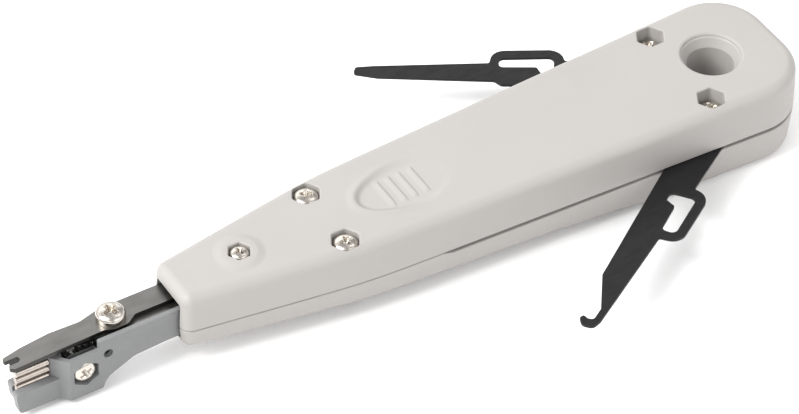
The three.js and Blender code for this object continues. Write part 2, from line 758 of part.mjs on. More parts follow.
function sensorBody() {
  const { y, wall, clampX, clampZ } = SENSOR;
  const outline = [
    [SENSOR_REAR_X, SENSOR_TOP],
    [SENSOR_STEP_X, SENSOR_TOP],
    [SENSOR_STEP_X, SENSOR_LOW_TOP],
    [-140.1, SENSOR_LOW_TOP],
    [-139.4, SENSOR_BOTTOM],
    [-132.6, SENSOR_BOTTOM, 0.5],
    [-132.2, -6.9, 0.4],
    [-131.3, -5.8, 1],
    [-125.8, -3.05, 3],
    [-119, -2.65, 6],
    [SENSOR_REAR_X, -2.65],
  ];
  const trough = [
    [SENSOR_REAR_X + 1, 6],
    [-139.1, 6],
    [-138.4, SENSOR_BOTTOM + 1.1],
    [-133.7, SENSOR_BOTTOM + 1.1],
    [-133.2, -6.2],
    [-132.2, -5],
    [-125.4, -1.8],
    [SENSOR_REAR_X + 1, -1.55],
  ];
  const inner = y - wall;
  const noseX = SENSOR_NOSE_X;
  const nose = box(noseX, -139, -y, y, SENSOR_BOTTOM, SENSOR_LOW_TOP);
  const slant = [
    [noseX, y + 0.2],
    [noseX, -0.85],
    [-138.64, -5],
    [noseX - 10, -5],
    [noseX - 10, y + 0.2],
  ];
  const hull = cut(
    join(sensorProfile(outline, -y, y), nose),
    plate(slant, -12, 4),
    sensorProfile(trough, -inner, inner),
    box(-150, -100, 0, 9, SENSOR_LOW_TOP, 9),
    box(-110, -100, -inner, inner, -4, 6),
  );
  const legs = LEGS.map(({ tipX, y0, y1, top, bottom }) => {
    const foot = [
      [tipX, top, 0.5],
      [tipX + 0.5, bottom, 1],
      [-139.3, bottom],
      [-139.3, top],
    ];
    return sensorProfile(foot, y0, y1);
  });
  const hooks = [1, -1].map((side) => {
    const { frontX, innerY, bottom } = SENSOR_HOOK;
    const ys = [side * innerY, side * (inner + 0.1)].sort((a, b) => a - b);
    return box(frontX, SENSOR_REAR_X, ys[0], ys[1], bottom, SENSOR_LOW_TOP);
  });
  const { frontX, rearX, innerY, bottom, top } = CLAMP_PAD;
  const pad = box(frontX, rearX, -inner - 0.1, innerY, bottom, top);
  const recess = [
    [noseX + RECESS.wall, inner],
    [noseX + RECESS.wall, -0.5],
    [-139.15, -inner],
    [SENSOR_STEP_X, -inner],
    [SENSOR_STEP_X, inner],
  ];
  const body = join(hull, pad, ...legs, ...hooks);
  const clamp = { x: clampX, z: clampZ };
  const rodHoles = Object.values(ROD_HEIGHTS).map((z) =>
    bar("x", ROD.r + CONTACT_GAP, ROD.frontX - 1, ROD.rearX + 0.1, { y: ROD.y, z }, 16),
  );
  return cut(
    body,
    plate(recess, RECESS.floor, 9),
    bar("y", M25.shank + BORE_GAP, -6, 6, clamp),
    hexBar("y", CLAMP_POCKET_AF, -6, CLAMP_SEAT_Y, clamp, true),
    bar("y", STUD_HOLE.r, -6, -inner + STUD_HOLE.floor, STUD_HOLE),
    ...rodHoles,
  );
}

// ---------------------------------------------------------------- assembly

const tool = new THREE.Group();
tool.position.z = PARTING_Z;

function addPiece(name, made, look, parent = tool) {
  const mesh = new THREE.Mesh(geometryOf(made), MATERIALS[look]());
  mesh.name = name;
  parent.add(mesh);
  return mesh;
}

addPiece("top_shell", topShell(), "shell");
addPiece("bottom_shell", bottomShell(), "shell");

for (const { name, x, y, size, headZ, nutZ } of SHELL_SCREWS) {
  const length = headZ - nutZ + size.nutH + 0.3;
  const screw = addPiece(`${name}_shell_screw`, panScrew(size, length), "nickel");
  screw.position.set(x, y, headZ + CONTACT_GAP);
  const nut = hexNut(size.nutAF, size.nutH, size.shank + 0.05);
  const nutMesh = addPiece(`${name}_shell_nut`, nut, "nickel");
  nutMesh.position.set(x, y, nutZ - size.nutH - CONTACT_GAP);
}

const FOLDING_BLADES = [
  {
    name: "hook_blade",
    outline: HOOK_OUTLINE,
    loop: HOOK_LOOP,
    angle: HOOK_ANGLE,
    y: -PIVOT.y,
    mirror: 1,
  },
  {
    name: "release_blade",
    outline: RELEASE_OUTLINE,
    loop: RELEASE_LOOP,
    angle: RELEASE_ANGLE,
    y: PIVOT.y,
    mirror: -1,
  },
];
for (const { name, outline, loop, angle, y, mirror } of FOLDING_BLADES) {
  const blade = addPiece(name, foldingBlade(outline, loop), "blade");
  blade.position.set(PIVOT.x, y, BLADE_TOP - BLADE_THICKNESS);
  blade.rotation.z = THREE.MathUtils.degToRad(angle);
  blade.scale.y = mirror;
  const sleeve = cut(
    bar("z", PIVOT_SLEEVE_R, -SLOT_HEIGHT + CONTACT_GAP, PARTING_GAP - CONTACT_GAP, {}, 28),
    bar("z", M25.shank + 0.1, -2, 2, {}),
  );
  const sleeveMesh = addPiece(name.replace("blade", "pivot_sleeve"), sleeve, "nickel");
  sleeveMesh.position.set(PIVOT.x, y, 0);
}

addPiece("fork_blade", forkBlade(), "steel");
addPiece("scissor_blade", scissorBlade(), "steel");
addPiece("blade_holder", bladeHolder(), "zinc");
addPiece("plunger_block", plungerBlock(), "zinc");
for (const at of RIVETS) addPiece(at.name, rivet(at), "zinc");
const pivotScrew = panScrew(M3, PIVOT_SCREW_LENGTH);
const pivotScrewMesh = addPiece("scissor_pivot_screw", pivotScrew, "nickel");
pivotScrewMesh.position.set(HEAD_PIVOT.x, HEAD_PIVOT.y, FORK.top + CONTACT_GAP);
const guideRod = bar("x", GUIDE_ROD.r, GUIDE_ROD.startX, GUIDE_ROD.endX, {});
addPiece("spring_guide_rod", guideRod, "nickel");
addPiece("scissor_return_spring", leafSpring(), "spring");
addPiece("main_spring", coilSpring(SPRING, SPRING.endX, 14), "spring");

addPiece("sensor_body", sensorBody(), "sensor");
for (const [name, z] of Object.entries(ROD_HEIGHTS))
  addPiece(name, bar("x", ROD.r, ROD.frontX, ROD.rearX, { y: ROD.y, z }, 16), "nickel");
const clampLength = SENSOR.y - CLAMP_SEAT_Y + M25.nutH + 0.3;
const clampScrew = addPiece("sensor_clamp_screw", panScrew(M25, clampLength), "nickel");
clampScrew.rotation.x = Math.PI / 2;
clampScrew.position.set(SENSOR.clampX, CLAMP_SEAT_Y - CONTACT_GAP, SENSOR.clampZ);
const clampNut = hexNut(M25.nutAF, M25.nutH, M25.shank + 0.05);
const clampNutMesh = addPiece("sensor_clamp_nut", clampNut, "nickel");
clampNutMesh.rotation.x = -Math.PI / 2;
clampNutMesh.position.set(SENSOR.clampX, SENSOR.y + CONTACT_GAP, SENSOR.clampZ);
const sensorSpring = coilSpring(SENSOR_SPRING, HOLDER.frontX - CONTACT_GAP, 10);
addPiece("sensor_spring", sensorSpring, "spring");

export default tool;
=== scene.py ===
import json
import math

import bmesh
import bpy
from mathutils import Matrix, Vector


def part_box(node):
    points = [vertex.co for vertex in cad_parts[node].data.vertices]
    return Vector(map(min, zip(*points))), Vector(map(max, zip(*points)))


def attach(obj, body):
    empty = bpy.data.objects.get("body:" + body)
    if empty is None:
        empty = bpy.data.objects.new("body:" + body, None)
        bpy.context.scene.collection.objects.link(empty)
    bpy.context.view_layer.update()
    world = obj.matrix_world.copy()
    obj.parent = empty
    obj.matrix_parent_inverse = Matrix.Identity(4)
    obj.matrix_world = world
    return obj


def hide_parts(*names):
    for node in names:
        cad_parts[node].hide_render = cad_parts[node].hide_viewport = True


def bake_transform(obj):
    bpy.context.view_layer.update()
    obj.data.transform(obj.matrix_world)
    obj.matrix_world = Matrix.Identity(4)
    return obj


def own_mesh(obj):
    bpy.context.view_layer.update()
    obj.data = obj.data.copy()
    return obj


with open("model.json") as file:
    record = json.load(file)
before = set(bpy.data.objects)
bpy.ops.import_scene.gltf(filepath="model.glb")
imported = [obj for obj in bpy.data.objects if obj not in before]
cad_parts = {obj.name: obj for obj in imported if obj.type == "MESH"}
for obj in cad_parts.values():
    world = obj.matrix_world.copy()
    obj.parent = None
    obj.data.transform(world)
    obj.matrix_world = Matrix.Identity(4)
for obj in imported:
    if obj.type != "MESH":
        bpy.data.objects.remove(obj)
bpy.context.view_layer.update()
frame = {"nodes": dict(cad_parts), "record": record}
nodes = frame["nodes"]
body_of = {n: body for body, members in frame["record"]["behaviour"]["bodies"].items() for n in members}

MM = 0.001
PARTING_Z = 9.4


def span(node):
    """A CAD node's lowest and highest corners, in millimetres."""
    lo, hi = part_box(node)
    return Vector(lo) / MM, Vector(hi) / MM


def heights(node):
    """A CAD node's lowest and highest points, over the parting plane."""
    lo, hi = span(node)
    return lo.z - PARTING_Z, hi.z - PARTING_Z


def middle_of(node):
    """The middle of a CAD node's box: x, y and its height over the parting plane."""
    lo, hi = span(node)
    return (lo.x + hi.x) / 2, (lo.y + hi.y) / 2, (lo.z + hi.z) / 2 - PARTING_Z


def plan_middle(node):
    return middle_of(node)[:2]


def rod_axis(node):
    """The line of a rod that lies along x, as (0, y, height)."""
    lo, hi = span(node)
    middle = (lo + hi) / 2
    return 0, middle.y, middle.z - PARTING_Z


# ---------- mesh helpers

MERGE_DISTANCE = 0.002  # points closer than this are one point
AXIS_R = 0.002  # stands for radius 0 on the axis of a turned piece
NEARLY_STRAIGHT = math.radians(89.5)  # half angle over which a corner is left as it is
ROUND_SEGMENTS = 72  # of the large round features


def make_object(name, vertices, faces):
    """A mesh object from points in millimetres."""
    mesh = bpy.data.meshes.new(name)
    mesh.from_pydata([Vector(v) * MM for v in vertices], [], faces)
    mesh.update()
    piece = bpy.data.objects.new(name, mesh)
    bpy.context.scene.collection.objects.link(piece)
    return piece


def drop(piece):
    mesh = piece.data
    bpy.data.objects.remove(piece)
    bpy.data.meshes.remove(mesh)


def bake(piece):
    """Applies a piece's modifiers to its mesh."""
    depsgraph = bpy.context.evaluated_depsgraph_get()
    mesh = bpy.data.meshes.new_from_object(piece.evaluated_get(depsgraph))
    old = piece.data
    piece.modifiers.clear()
    piece.data = mesh
    bpy.data.meshes.remove(old)
    mesh.name = piece.name
    return piece


def combine(base, others, operation):
    """Applies one boolean with each of the others to base, and deletes the others."""
    for other in others:
        step = base.modifiers.new("combine", "BOOLEAN")
        step.operation = operation
        step.solver = "EXACT"
        step.object = other
    bake(base)
    for other in others:
        drop(other)
    return base


def cut(base, *others):
    return combine(base, others, "DIFFERENCE")


def join(base, *others):
    return combine(base, others, "UNION")


def tidy_mesh(piece, flat_angle=0.2):
    """Merges coincident points and the coplanar faces that a boolean leaves split."""
    mesh = bmesh.new()
    mesh.from_mesh(piece.data)
    bmesh.ops.remove_doubles(mesh, verts=mesh.verts, dist=MERGE_DISTANCE * MM)
    bmesh.ops.dissolve_limit(
        mesh, angle_limit=math.radians(flat_angle), verts=mesh.verts, edges=mesh.edges
    )
    mesh.to_mesh(piece.data)
    mesh.free()
    return piece


def soften(piece, width, segments=3, angle=28):
    """Rounds every edge that is sharper than the angle."""
    tidy_mesh(piece)
    step = piece.modifiers.new("round", "BEVEL")
    step.width = width * MM
    step.segments = segments
    step.limit_method = "ANGLE"
    step.angle_limit = math.radians(angle)
    step.miter_outer = "MITER_ARC"
    step.use_clamp_overlap = True
    return bake(piece)


def shade(piece, angle=40):
    """Smooth shading that keeps flat faces flat and edges over the angle sharp."""
    piece.data.shade_smooth()
    piece.data.set_sharp_from_angle(angle=math.radians(angle))
    step = piece.modifiers.new("normals", "WEIGHTED_NORMAL")
    step.keep_sharp = True
    step.weight = 100
    return bake(piece)


def stack(name, rings, closed=False):
    """A surface through rings of points, each with as many points, capped at both ends."""
    count = len(rings[0])
    vertices = [point for ring in rings for point in ring]
    faces = []
    pairs = len(rings) if closed else len(rings) - 1
    for k in range(pairs):
        low, high = k * count, (k + 1) % len(rings) * count
        for i in range(count):
            j = (i + 1) % count
            faces.append((low + i, low + j, high + j, high + i))
    if not closed:
        faces.append(tuple(reversed(range(count))))
        faces.append(tuple(range(len(vertices) - count, len(vertices))))
    return make_object(name, vertices, faces)


def circle(x, y, h, r, segments):
    angles = [2 * math.pi * i / segments for i in range(segments)]
    return [(x + r * math.cos(a), y + r * math.sin(a), h) for a in angles]


def turned(name, profile, x=0.0, y=0.0, segments=48):
    """A closed solid of revolution about a vertical axis; profile is (radius, height) pairs."""
    rings = [circle(x, y, h, max(r, AXIS_R), segments) for r, h in profile]
    return tidy_mesh(stack(name, rings), 0.01)


def bar(name, axis, r, lo, hi, at=(0, 0, 0), segments=48, chamfer=0.0):
    """A round bar along x, y or z, with its ends chamfered if asked."""
    c = chamfer
    profile = [(r, lo), (r, hi)]
    if c:
        profile = [(r - c, lo), (r - 0.3 * c, lo + 0.3 * c), (r, lo + c)]
        profile += [(r, hi - c), (r - 0.3 * c, hi - 0.3 * c), (r - c, hi)]
    piece = stack(name, [circle(0, 0, h, radius, segments) for radius, h in profile])
    turn = {
        "x": Matrix.Rotation(math.pi / 2, 4, "Y"),
        "y": Matrix.Rotation(-math.pi / 2, 4, "X"),
        "z": Matrix.Identity(4),
    }[axis]
    piece.data.transform(Matrix.Translation(Vector(at) * MM) @ turn)
    return piece


def box(name, x0, x1, y0, y1, h0, h1):
    rings = [[(x0, y0, h), (x1, y0, h), (x1, y1, h), (x0, y1, h)] for h in (h0, h1)]
    return stack(name, rings)


def rounded(points, step=12):
    """A closed outline through (x, y, radius) corners, with an arc at each rounded one."""
    outline = []
    count = len(points)
    for i, (x, y, *rest) in enumerate(points):
        radius = rest[0] if rest else 0
        corner = Vector((x, y))
        back = (Vector(points[i - 1][:2]) - corner).normalized()
        ahead = (Vector(points[(i + 1) % count][:2]) - corner).normalized()
        half = back.angle(ahead) / 2
        if radius == 0 or half > NEARLY_STRAIGHT:
            outline.append((x, y))
            continue
        reach = radius / math.tan(half)
        centre = corner + (back + ahead).normalized() * radius / math.sin(half)
        start = corner + back * reach - centre
        end = corner + ahead * reach - centre
        turn = start.angle_signed(end) * -1
        steps = max(2, math.ceil(math.degrees(abs(turn)) / step - 0.01))
        for k in range(steps + 1):
            arm = start.copy()
            arm.rotate(Matrix.Rotation(turn * k / steps, 2))
            outline.append(tuple(centre + arm))
    return outline


def plate(name, points, h0, h1, step=12):
    """A flat plate with the plan outline given by rounded corners."""
    outline = rounded(points, step)
    area = sum(a[0] * b[1] - b[0] * a[1] for a, b in zip(outline, outline[1:] + outline[:1]))
    if area < 0:
        outline.reverse()
    return stack(name, [[(x, y, h) for x, y in outline] for h in (h0, h1)])


def side_plate(name, points, y0, y1, step=12):
    """A plate standing along the tool, from its outline in x and height."""
    piece = plate(name, points, -y1, -y0, step)
    piece.data.transform(Matrix.Rotation(math.pi / 2, 4, "X"))
    return piece


def place(piece, x=0.0, y=0.0, h=0.0, turn=0.0, axis="Z"):
    """Turns a piece about an axis through 0, in degrees, and then moves it."""
    lift = Matrix.Translation(Vector((x, y, h)) * MM)
    piece.data.transform(lift @ Matrix.Rotation(math.radians(turn), 4, axis))
    return piece


def stand_for(piece, node, material, angle=40):
    """Puts a finished piece on the node's body and hides the node."""
    piece.data.transform(Matrix.Translation((0, 0, PARTING_Z * MM)))
    shade(piece, angle)
    piece.data.materials.clear()
    piece.data.materials.append(material)
    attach(piece, body_of[node])
    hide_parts(node)


def refined(node, material, width):
    """The CAD node's own shape with its edges rounded."""
    piece = bpy.data.objects.new(node + "_fine", nodes[node].data.copy())
    bpy.context.scene.collection.objects.link(piece)
    piece.data.transform(Matrix.Translation((0, 0, -PARTING_Z * MM)))
    soften(piece, width, 2)
    stand_for(piece, node, material)


# ---------- materials


def set_inputs(node, **values):
    """Sets a node's inputs. An underscore stands for the space in an input's name."""
    for key, value in values.items():
        node.inputs[key.replace("_", " ")].default_value = value


def map_range(tree, value, from_low, from_high, low, high):
    node = tree.nodes.new("ShaderNodeMapRange")
    set_inputs(node, From_Min=from_low, From_Max=from_high, To_Min=low, To_Max=high)
    tree.links.new(value, node.inputs["Value"])
    return node.outputs["Result"]


class Look:
    """A node material being put together."""

    def __init__(self, name, color, roughness, metallic=0.0, **sockets):
        self.material = bpy.data.materials.new(name)
        self.material.use_nodes = True
        self.tree = self.material.node_tree
        self.link = self.tree.links.new
        self.shader = self.tree.nodes["Principled BSDF"]
        self.color = color
        set_inputs(self.shader, Base_Color=(*color, 1), Roughness=roughness, Metallic=metallic)
        set_inputs(self.shader, **sockets)
        self.coordinates = self.tree.nodes.new("ShaderNodeTexCoord").outputs["Object"]
        self.normal = None

    def noise(self, per_mm, stretch=(1, 1, 1), detail=3.0, roughness=0.5):
        """Noise in object space, with so many cells to the millimetre along each axis."""
        mapping = self.tree.nodes.new("ShaderNodeMapping")
        set_inputs(mapping, Scale=[per_mm * s / MM for s in stretch])
        self.link(self.coordinates, mapping.inputs["Vector"])
        texture = self.tree.nodes.new("ShaderNodeTexNoise")
        set_inputs(texture, Scale=1, Detail=detail, Roughness=roughness)
        self.link(mapping.outputs["Vector"], texture.inputs["Vector"])
        return texture.outputs["Fac"]

    def ramp(self, value, low, high):
        """Maps 0.3 to 0.7, the usual range of a noise, to low and high."""
        return map_range(self.tree, value, 0.3, 0.7, low, high)

    def color_mix(self, scale):
        """A mix of two colours, the first of which is the material's own, scaled."""
        mix = self.tree.nodes.new("ShaderNodeMix")
        mix.data_type = "RGBA"
        set_inputs(mix, A=(*[c * scale for c in self.color], 1))
        return mix

    def vary_color(self, value, dark, light):
        """Blends between the colour scaled by dark and by light."""
        mix = self.color_mix(dark)
        set_inputs(mix, B=(*[c * light for c in self.color], 1))
        self.link(self.ramp(value, 0, 1), mix.inputs["Factor"])
        self.link(mix.outputs["Result"], self.shader.inputs["Base Color"])

    def paint_side_shade(self, low):
        """Painted shade: the more upright a face stands, the more its colour is darkened, standing in
        for the shade that the sides fall into.
        """
        normals = self.tree.nodes.new("ShaderNodeTexCoord").outputs["Normal"]
        split = self.tree.nodes.new("ShaderNodeSeparateXYZ")
        self.link(normals, split.inputs["Vector"])
        level = self.tree.nodes.new("ShaderNodeMath")
        level.operation = "ABSOLUTE"
        self.link(split.outputs["Z"], level.inputs[0])
        mix = self.color_mix(low)
        base = self.shader.inputs["Base Color"]
        self.link(self.ramp(level.outputs["Value"], 0, 1), mix.inputs["Factor"])
        self.link(base.links[0].from_socket, mix.inputs["B"])
        self.link(mix.outputs["Result"], base)

    def vary_roughness(self, value, low, high):
        self.link(self.ramp(value, low, high), self.shader.inputs["Roughness"])

    def bump(self, value, height_mm, strength):
        node = self.tree.nodes.new("ShaderNodeBump")
        set_inputs(node, Strength=strength, Distance=height_mm * MM)
        self.link(value, node.inputs["Height"])
        if self.normal:
            self.link(self.normal, node.inputs["Normal"])
        self.normal = node.outputs["Normal"]
        self.link(self.normal, self.shader.inputs["Normal"])


def shell_plastic():
    look = Look("shell_plastic", (0.385, 0.367, 0.35), 0.5, IOR=1.45)
    look.vary_color(look.noise(0.05, detail=4), 0.985, 1.015)
    look.vary_roughness(look.noise(0.6), 0.44, 0.56)
    look.bump(look.noise(3.2, detail=2), 0.02, 0.35)
    look.bump(look.noise(0.12, detail=1), 0.05, 0.25)
    return look.material


def sensor_plastic():
    look = Look("sensor_plastic", (0.2, 0.202, 0.204), 0.5, IOR=1.45)
    look.vary_color(look.noise(0.25, detail=4), 0.96, 1.04)
    look.vary_roughness(look.noise(1.2), 0.42, 0.58)
    look.bump(look.noise(5, detail=2), 0.015, 0.4)
    return look.material


def black_steel():
    look = Look("black_steel", (0.006, 0.006, 0.0065), 0.5, 0.0, IOR=1.38)
    look.vary_color(look.noise(0.4, detail=5), 0.85, 1.2)
    look.vary_roughness(look.noise(0.9, (0.4, 1, 1)), 0.38, 0.6)
    look.bump(look.noise(4, detail=3), 0.012, 0.5)
    return look.material


def blade_steel():
    look = Look("blade_steel", (0.2, 0.195, 0.185), 0.36, 1.0)
    grain = look.noise(2.5, (0.04, 1, 1), 4, 0.7)
    look.vary_color(look.noise(0.3, (0.4, 1, 1), 4, 0.6), 0.86, 1.1)
    # painted shade: the blade's upright faces get a darker colour than its top
    look.paint_side_shade(0.3)
    look.vary_roughness(look.noise(1.5, (0.1, 1, 1)), 0.3, 0.45)
    look.bump(grain, 0.004, 0.25)
    return look.material


def nickel(name="nickel_steel", color=(0.62, 0.58, 0.53)):
    look = Look(name, color, 0.2, 1.0)
    look.vary_color(look.noise(0.8, detail=4), 0.92, 1.05)
    look.vary_roughness(look.noise(1.5), 0.14, 0.28)
    look.bump(look.noise(2.2, detail=2), 0.01, 0.3)
    return look.material


def cast_zinc():
    look = Look("cast_zinc", (0.33, 0.335, 0.34), 0.5, 1.0)
    look.vary_color(look.noise(0.8, detail=5), 0.85, 1.1)
    look.vary_roughness(look.noise(2), 0.42, 0.6)
    look.bump(look.noise(3, detail=4), 0.03, 0.5)
    return look.material


def spring_steel():
    look = Look("spring_steel", (0.45, 0.44, 0.42), 0.3, 1.0)
    look.vary_color(look.noise(1.5, detail=3), 0.85, 1.1)
    look.vary_roughness(look.noise(3), 0.22, 0.38)
    return look.material


SHELL = shell_plastic()
SENSOR = sensor_plastic()
BLACK = black_steel()
STEEL = blade_steel()
NICKEL = nickel()
WORN_NICKEL = nickel("worn_nickel", (0.46, 0.41, 0.37))
ZINC = cast_zinc()
SPRING = spring_steel()

# ---------- handle shells

shell_lo, shell_hi = span("bottom_shell")
FRONT_X, REAR_X = shell_lo.x, shell_hi.x
HOLE_X = REAR_X - 16.1

# Plan outline: the radius of its corners, and its half width and slope before and after the
# shoulder.
FRONT_R, REAR_R = 2.6, 11.6
FRONT_HALF_WIDTH, TAPER_SLOPE = 6.5, 0.153
SIDE_END_X = HOLE_X + 4
REAR_HALF_WIDTH, REAR_TAPER_SLOPE = 16.0, 0.0395
SHOULDER_BLEND = 0.4
SIDE_FIRST, SIDE_LAST = 6, 3  # the side's points start and stop this far inside its ends
FRONT_STEPS, SIDE_STEPS, REAR_STEPS = 8, 60, 24

# Section: outer edge, slant of the sides, wall, and the small round along the parting line.
EDGE_R, DRAFT, WALL = 2.2, 0.35, 2.1
CAVITY_R = 0.8
EDGE_STEPS, CAVITY_STEPS = 10, 4
RIM = 0.05  # half of the gap at the parting line
RIM_ROUND = 0.28
RIM_ANGLES = (0, 30, 60, 90)

# Heights of the top face, and depths of the lower one, which slopes at three different rates.
TOP_AT_HOLE, TOP_SLOPE = 10.3, 0.0145
FRONT_DEPTH, DEPTH_SLOPE, BELLY_SLOPE, REST_FRONT_X = 5.15, 0.0265, 0.07, -5.0
DEPTH_BLEND = 0.12

SLOT_H, SLOT_FRONT_X, SLOT_RUN = 0.74, -60.0, 0.5
MOUTH_Y, MOUTH_TOP, MOUTH_BOTTOM = 4.5, 5.8, -3.1
BORE_R, TUBE_R = 4.9, 7.2


def top_height(x):
    return TOP_AT_HOLE + TOP_SLOPE * (x - HOLE_X)


def bottom_height(x):
    """Height of the lower face: gentle, then the belly, then flat where the tool rests."""
    gentle = FRONT_DEPTH + DEPTH_SLOPE * (x - FRONT_X)
    belly = PARTING_Z + BELLY_SLOPE * (x - REST_FRONT_X)
    blend = DEPTH_BLEND
    steeper = blend * math.log(math.exp(gentle / blend) + math.exp(belly / blend))
    flat = -blend * math.log(math.exp(-steeper / blend) + math.exp(-PARTING_Z / blend))
    return -min(flat, PARTING_Z)


def half_width(x):
    """Half of the handle's width, with the shoulder between its two tapers blended."""
    front = FRONT_HALF_WIDTH + TAPER_SLOPE * (x - FRONT_X)
    rear = REAR_HALF_WIDTH + REAR_TAPER_SLOPE * (x - SIDE_END_X)
    k = SHOULDER_BLEND
    return -k * math.log(math.exp(-front / k) + math.exp(-rear / k))


def half_outline(offset):
    """Far half of the plan outline, from front to rear, moved in by offset."""
    lean = math.hypot(1, TAPER_SLOPE)
    front_r = max(FRONT_R - offset, 0.3)
    reach = offset + front_r
    centre = (FRONT_X + reach, FRONT_HALF_WIDTH + (TAPER_SLOPE - lean) * reach)
    side = math.pi / 2 + math.atan(TAPER_SLOPE)
    points = []
    for i in range(FRONT_STEPS + 1):
        a = math.pi + (side - math.pi) * i / FRONT_STEPS
        points.append((centre[0] + front_r * math.cos(a), centre[1] + front_r * math.sin(a)))
    first, last = FRONT_X + SIDE_FIRST, SIDE_END_X - SIDE_LAST
    for i in range(SIDE_STEPS + 1):
        x = first + (last - first) * i / SIDE_STEPS
        points.append((x, half_width(x) - offset * lean))
    turn = math.pi / 2 + math.atan(REAR_TAPER_SLOPE)
    centre = (
        SIDE_END_X - REAR_R * math.cos(turn),
        half_width(SIDE_END_X) - REAR_R * math.sin(turn),
    )
    r = REAR_R - offset
    for i in range(REAR_STEPS + 1):
        a = turn * (1 - i / REAR_STEPS)
        points.append((centre[0] + r * math.cos(a), centre[1] + r * math.sin(a)))
    return points


def shell(name, sign, face, rim):
    """A closed shell: outer skin, rim and cavity. sign is 1 for the top and -1 for the bottom;
    face and rim give the height of its outer face and of its edge over x."""

    def ring(offset, height):
        half = half_outline(offset)
        loop = half + [(x, -y) for x, y in reversed(half)]
        return [(x, y, height(x)) for x, y in loop]

    skin = []
    for angle in RIM_ANGLES:
        a = math.radians(angle)
        inset = RIM_ROUND * (1 - math.sin(a))
        skin.append((inset, lambda x, a=a: rim(x) + sign * RIM_ROUND * (1 - math.cos(a))))
    for i in range(EDGE_STEPS + 1):
        a = math.pi / 2 * i / EDGE_STEPS
        offset = DRAFT + EDGE_R * (1 - math.cos(a))
        skin.append((offset, lambda x, a=a: face(x) - sign * EDGE_R * (1 - math.sin(a))))
    cavity = []
    for i in range(CAVITY_STEPS + 1):
        a = math.pi / 2 * (1 - i / CAVITY_STEPS)
        offset = WALL + DRAFT + CAVITY_R * (1 - math.cos(a))
        depth = WALL + CAVITY_R * (1 - math.sin(a))
        cavity.append((offset, lambda x, depth=depth: face(x) - sign * depth))
    cavity.append((WALL, rim))
    count = len(ring(0, face))
    outer = [ring(*level) for level in skin]
    inner = [ring(*level) for level in cavity]
    vertices = [p for r in outer + inner for p in r]
    faces = []

    def band(low, high):
        for i in range(count):
            j = (i + 1) % count
            quad = (low + i, low + j, high + j, high + i)
            faces.append(quad if sign > 0 else quad[::-1])

    def cap(start, outward):
        for i in range(count // 2 - 1):
            far, near = start + i, start + count - 1 - i
            quad = (far, near, near - 1, far + 1)
            faces.append(quad if outward == (sign > 0) else quad[::-1])

    for k in range(len(skin) - 1):
        band((k + 1) * count, k * count)
    cap((len(skin) - 1) * count, True)
    base = len(skin) * count
    for k in range(len(cavity) - 1):
        band(base + (k + 1) * count, base + k * count)
    cap(base, False)
    band(0, base + (len(cavity) - 1) * count)
    return make_object(name, vertices, faces)


HEX_CORNERS = [(math.cos(math.pi * i / 3), math.sin(math.pi * i / 3)) for i in range(6)]


def pocket(name, x, y, across_flats, corner_r, floor, rise=0.0, flare=0.32):
    """Cutter for a hexagonal pocket with a level floor and a mouth rounded into the top face."""

    def ring(offset, h, tilt=True):
        r = (across_flats / 2 + offset) / math.cos(math.pi / 6)
        corners = [(r * cx, r * cy, corner_r + offset) for cx, cy in HEX_CORNERS]
        slope = TOP_SLOPE if tilt else 0
        return [(x + px, y + py, h + slope * px) for px, py in rounded(corners, 15)]

    top = top_height(x) + rise
    rings = [ring(0, floor, False), ring(0, top - flare)]
    for angle in (20, 40, 60, 75):
        a = math.radians(angle)
        rings.append(ring(flare * (1 - math.cos(a)), top - flare * (1 - math.sin(a))))
    rings += [ring(flare * 0.95, top + 0.1), ring(flare * 0.95, top + 2)]
    return stack(name, rings)


def top_ring(x, h, r):
    """A circle round (x, 0) that follows the slope of the top face."""
    points = circle(x, 0, 0, r, ROUND_SEGMENTS)
    return [(px, py, h + TOP_SLOPE * (px - x)) for px, py, _ in points]


# Profile of the hanging hole: each radius with its height over the underside, and further up
# with its depth under the top face. Between the two it is a plain bore.
HOLE_UNDERSIDE = (
    (BORE_R + 0.62, -1), (BORE_R + 0.6, -0.05), (BORE_R + 0.3, 0.13),
    (BORE_R + 0.1, 0.35), (BORE_R, 0.65),
)
HOLE_TOP = (
    (BORE_R, 2.75), (BORE_R + 0.06, 2.55), (BORE_R + 0.2, 2.4), (5.85, 0.95), (5.92, 0.82),
    (6.06, 0.74), (6.16, 0.66), (6.2, 0.5), (6.28, 0.3), (6.44, 0.13), (6.66, 0.03),
    (6.95, -0.02), (6.95, -2),
)


def hanging_hole(name):
    """Cutter for the hanging hole, with its cone and its rounded edges."""
    rings = [circle(HOLE_X, 0, h - PARTING_Z, r, ROUND_SEGMENTS) for r, h in HOLE_UNDERSIDE]
    rings += [top_ring(HOLE_X, TOP_AT_HOLE - depth, r) for r, depth in HOLE_TOP]
    return stack(name, rings)


PLINTH_HEIGHT = 0.45
# Each radius with its height over the top face.
PLINTH_PROFILE = (
    (5.6, -1), (5.6, -0.02), (5.2, 0.01), (4.85, 0.06), (4.1, 0.3), (3.8, 0.39), (3.45, 0.44),
    (3.0, PLINTH_HEIGHT),
)


def plinth(name, x):
    """The low cone that stands round the front screw's pocket."""
    return stack(name, [top_ring(x, top_height(x) + rise, r) for r, rise in PLINTH_PROFILE])


def smooth_step(value):
    """Rises smoothly from 0 to 1 as the value does."""
    t = min(max(value, 0.0), 1.0)
    return t * t * (3 - 2 * t)


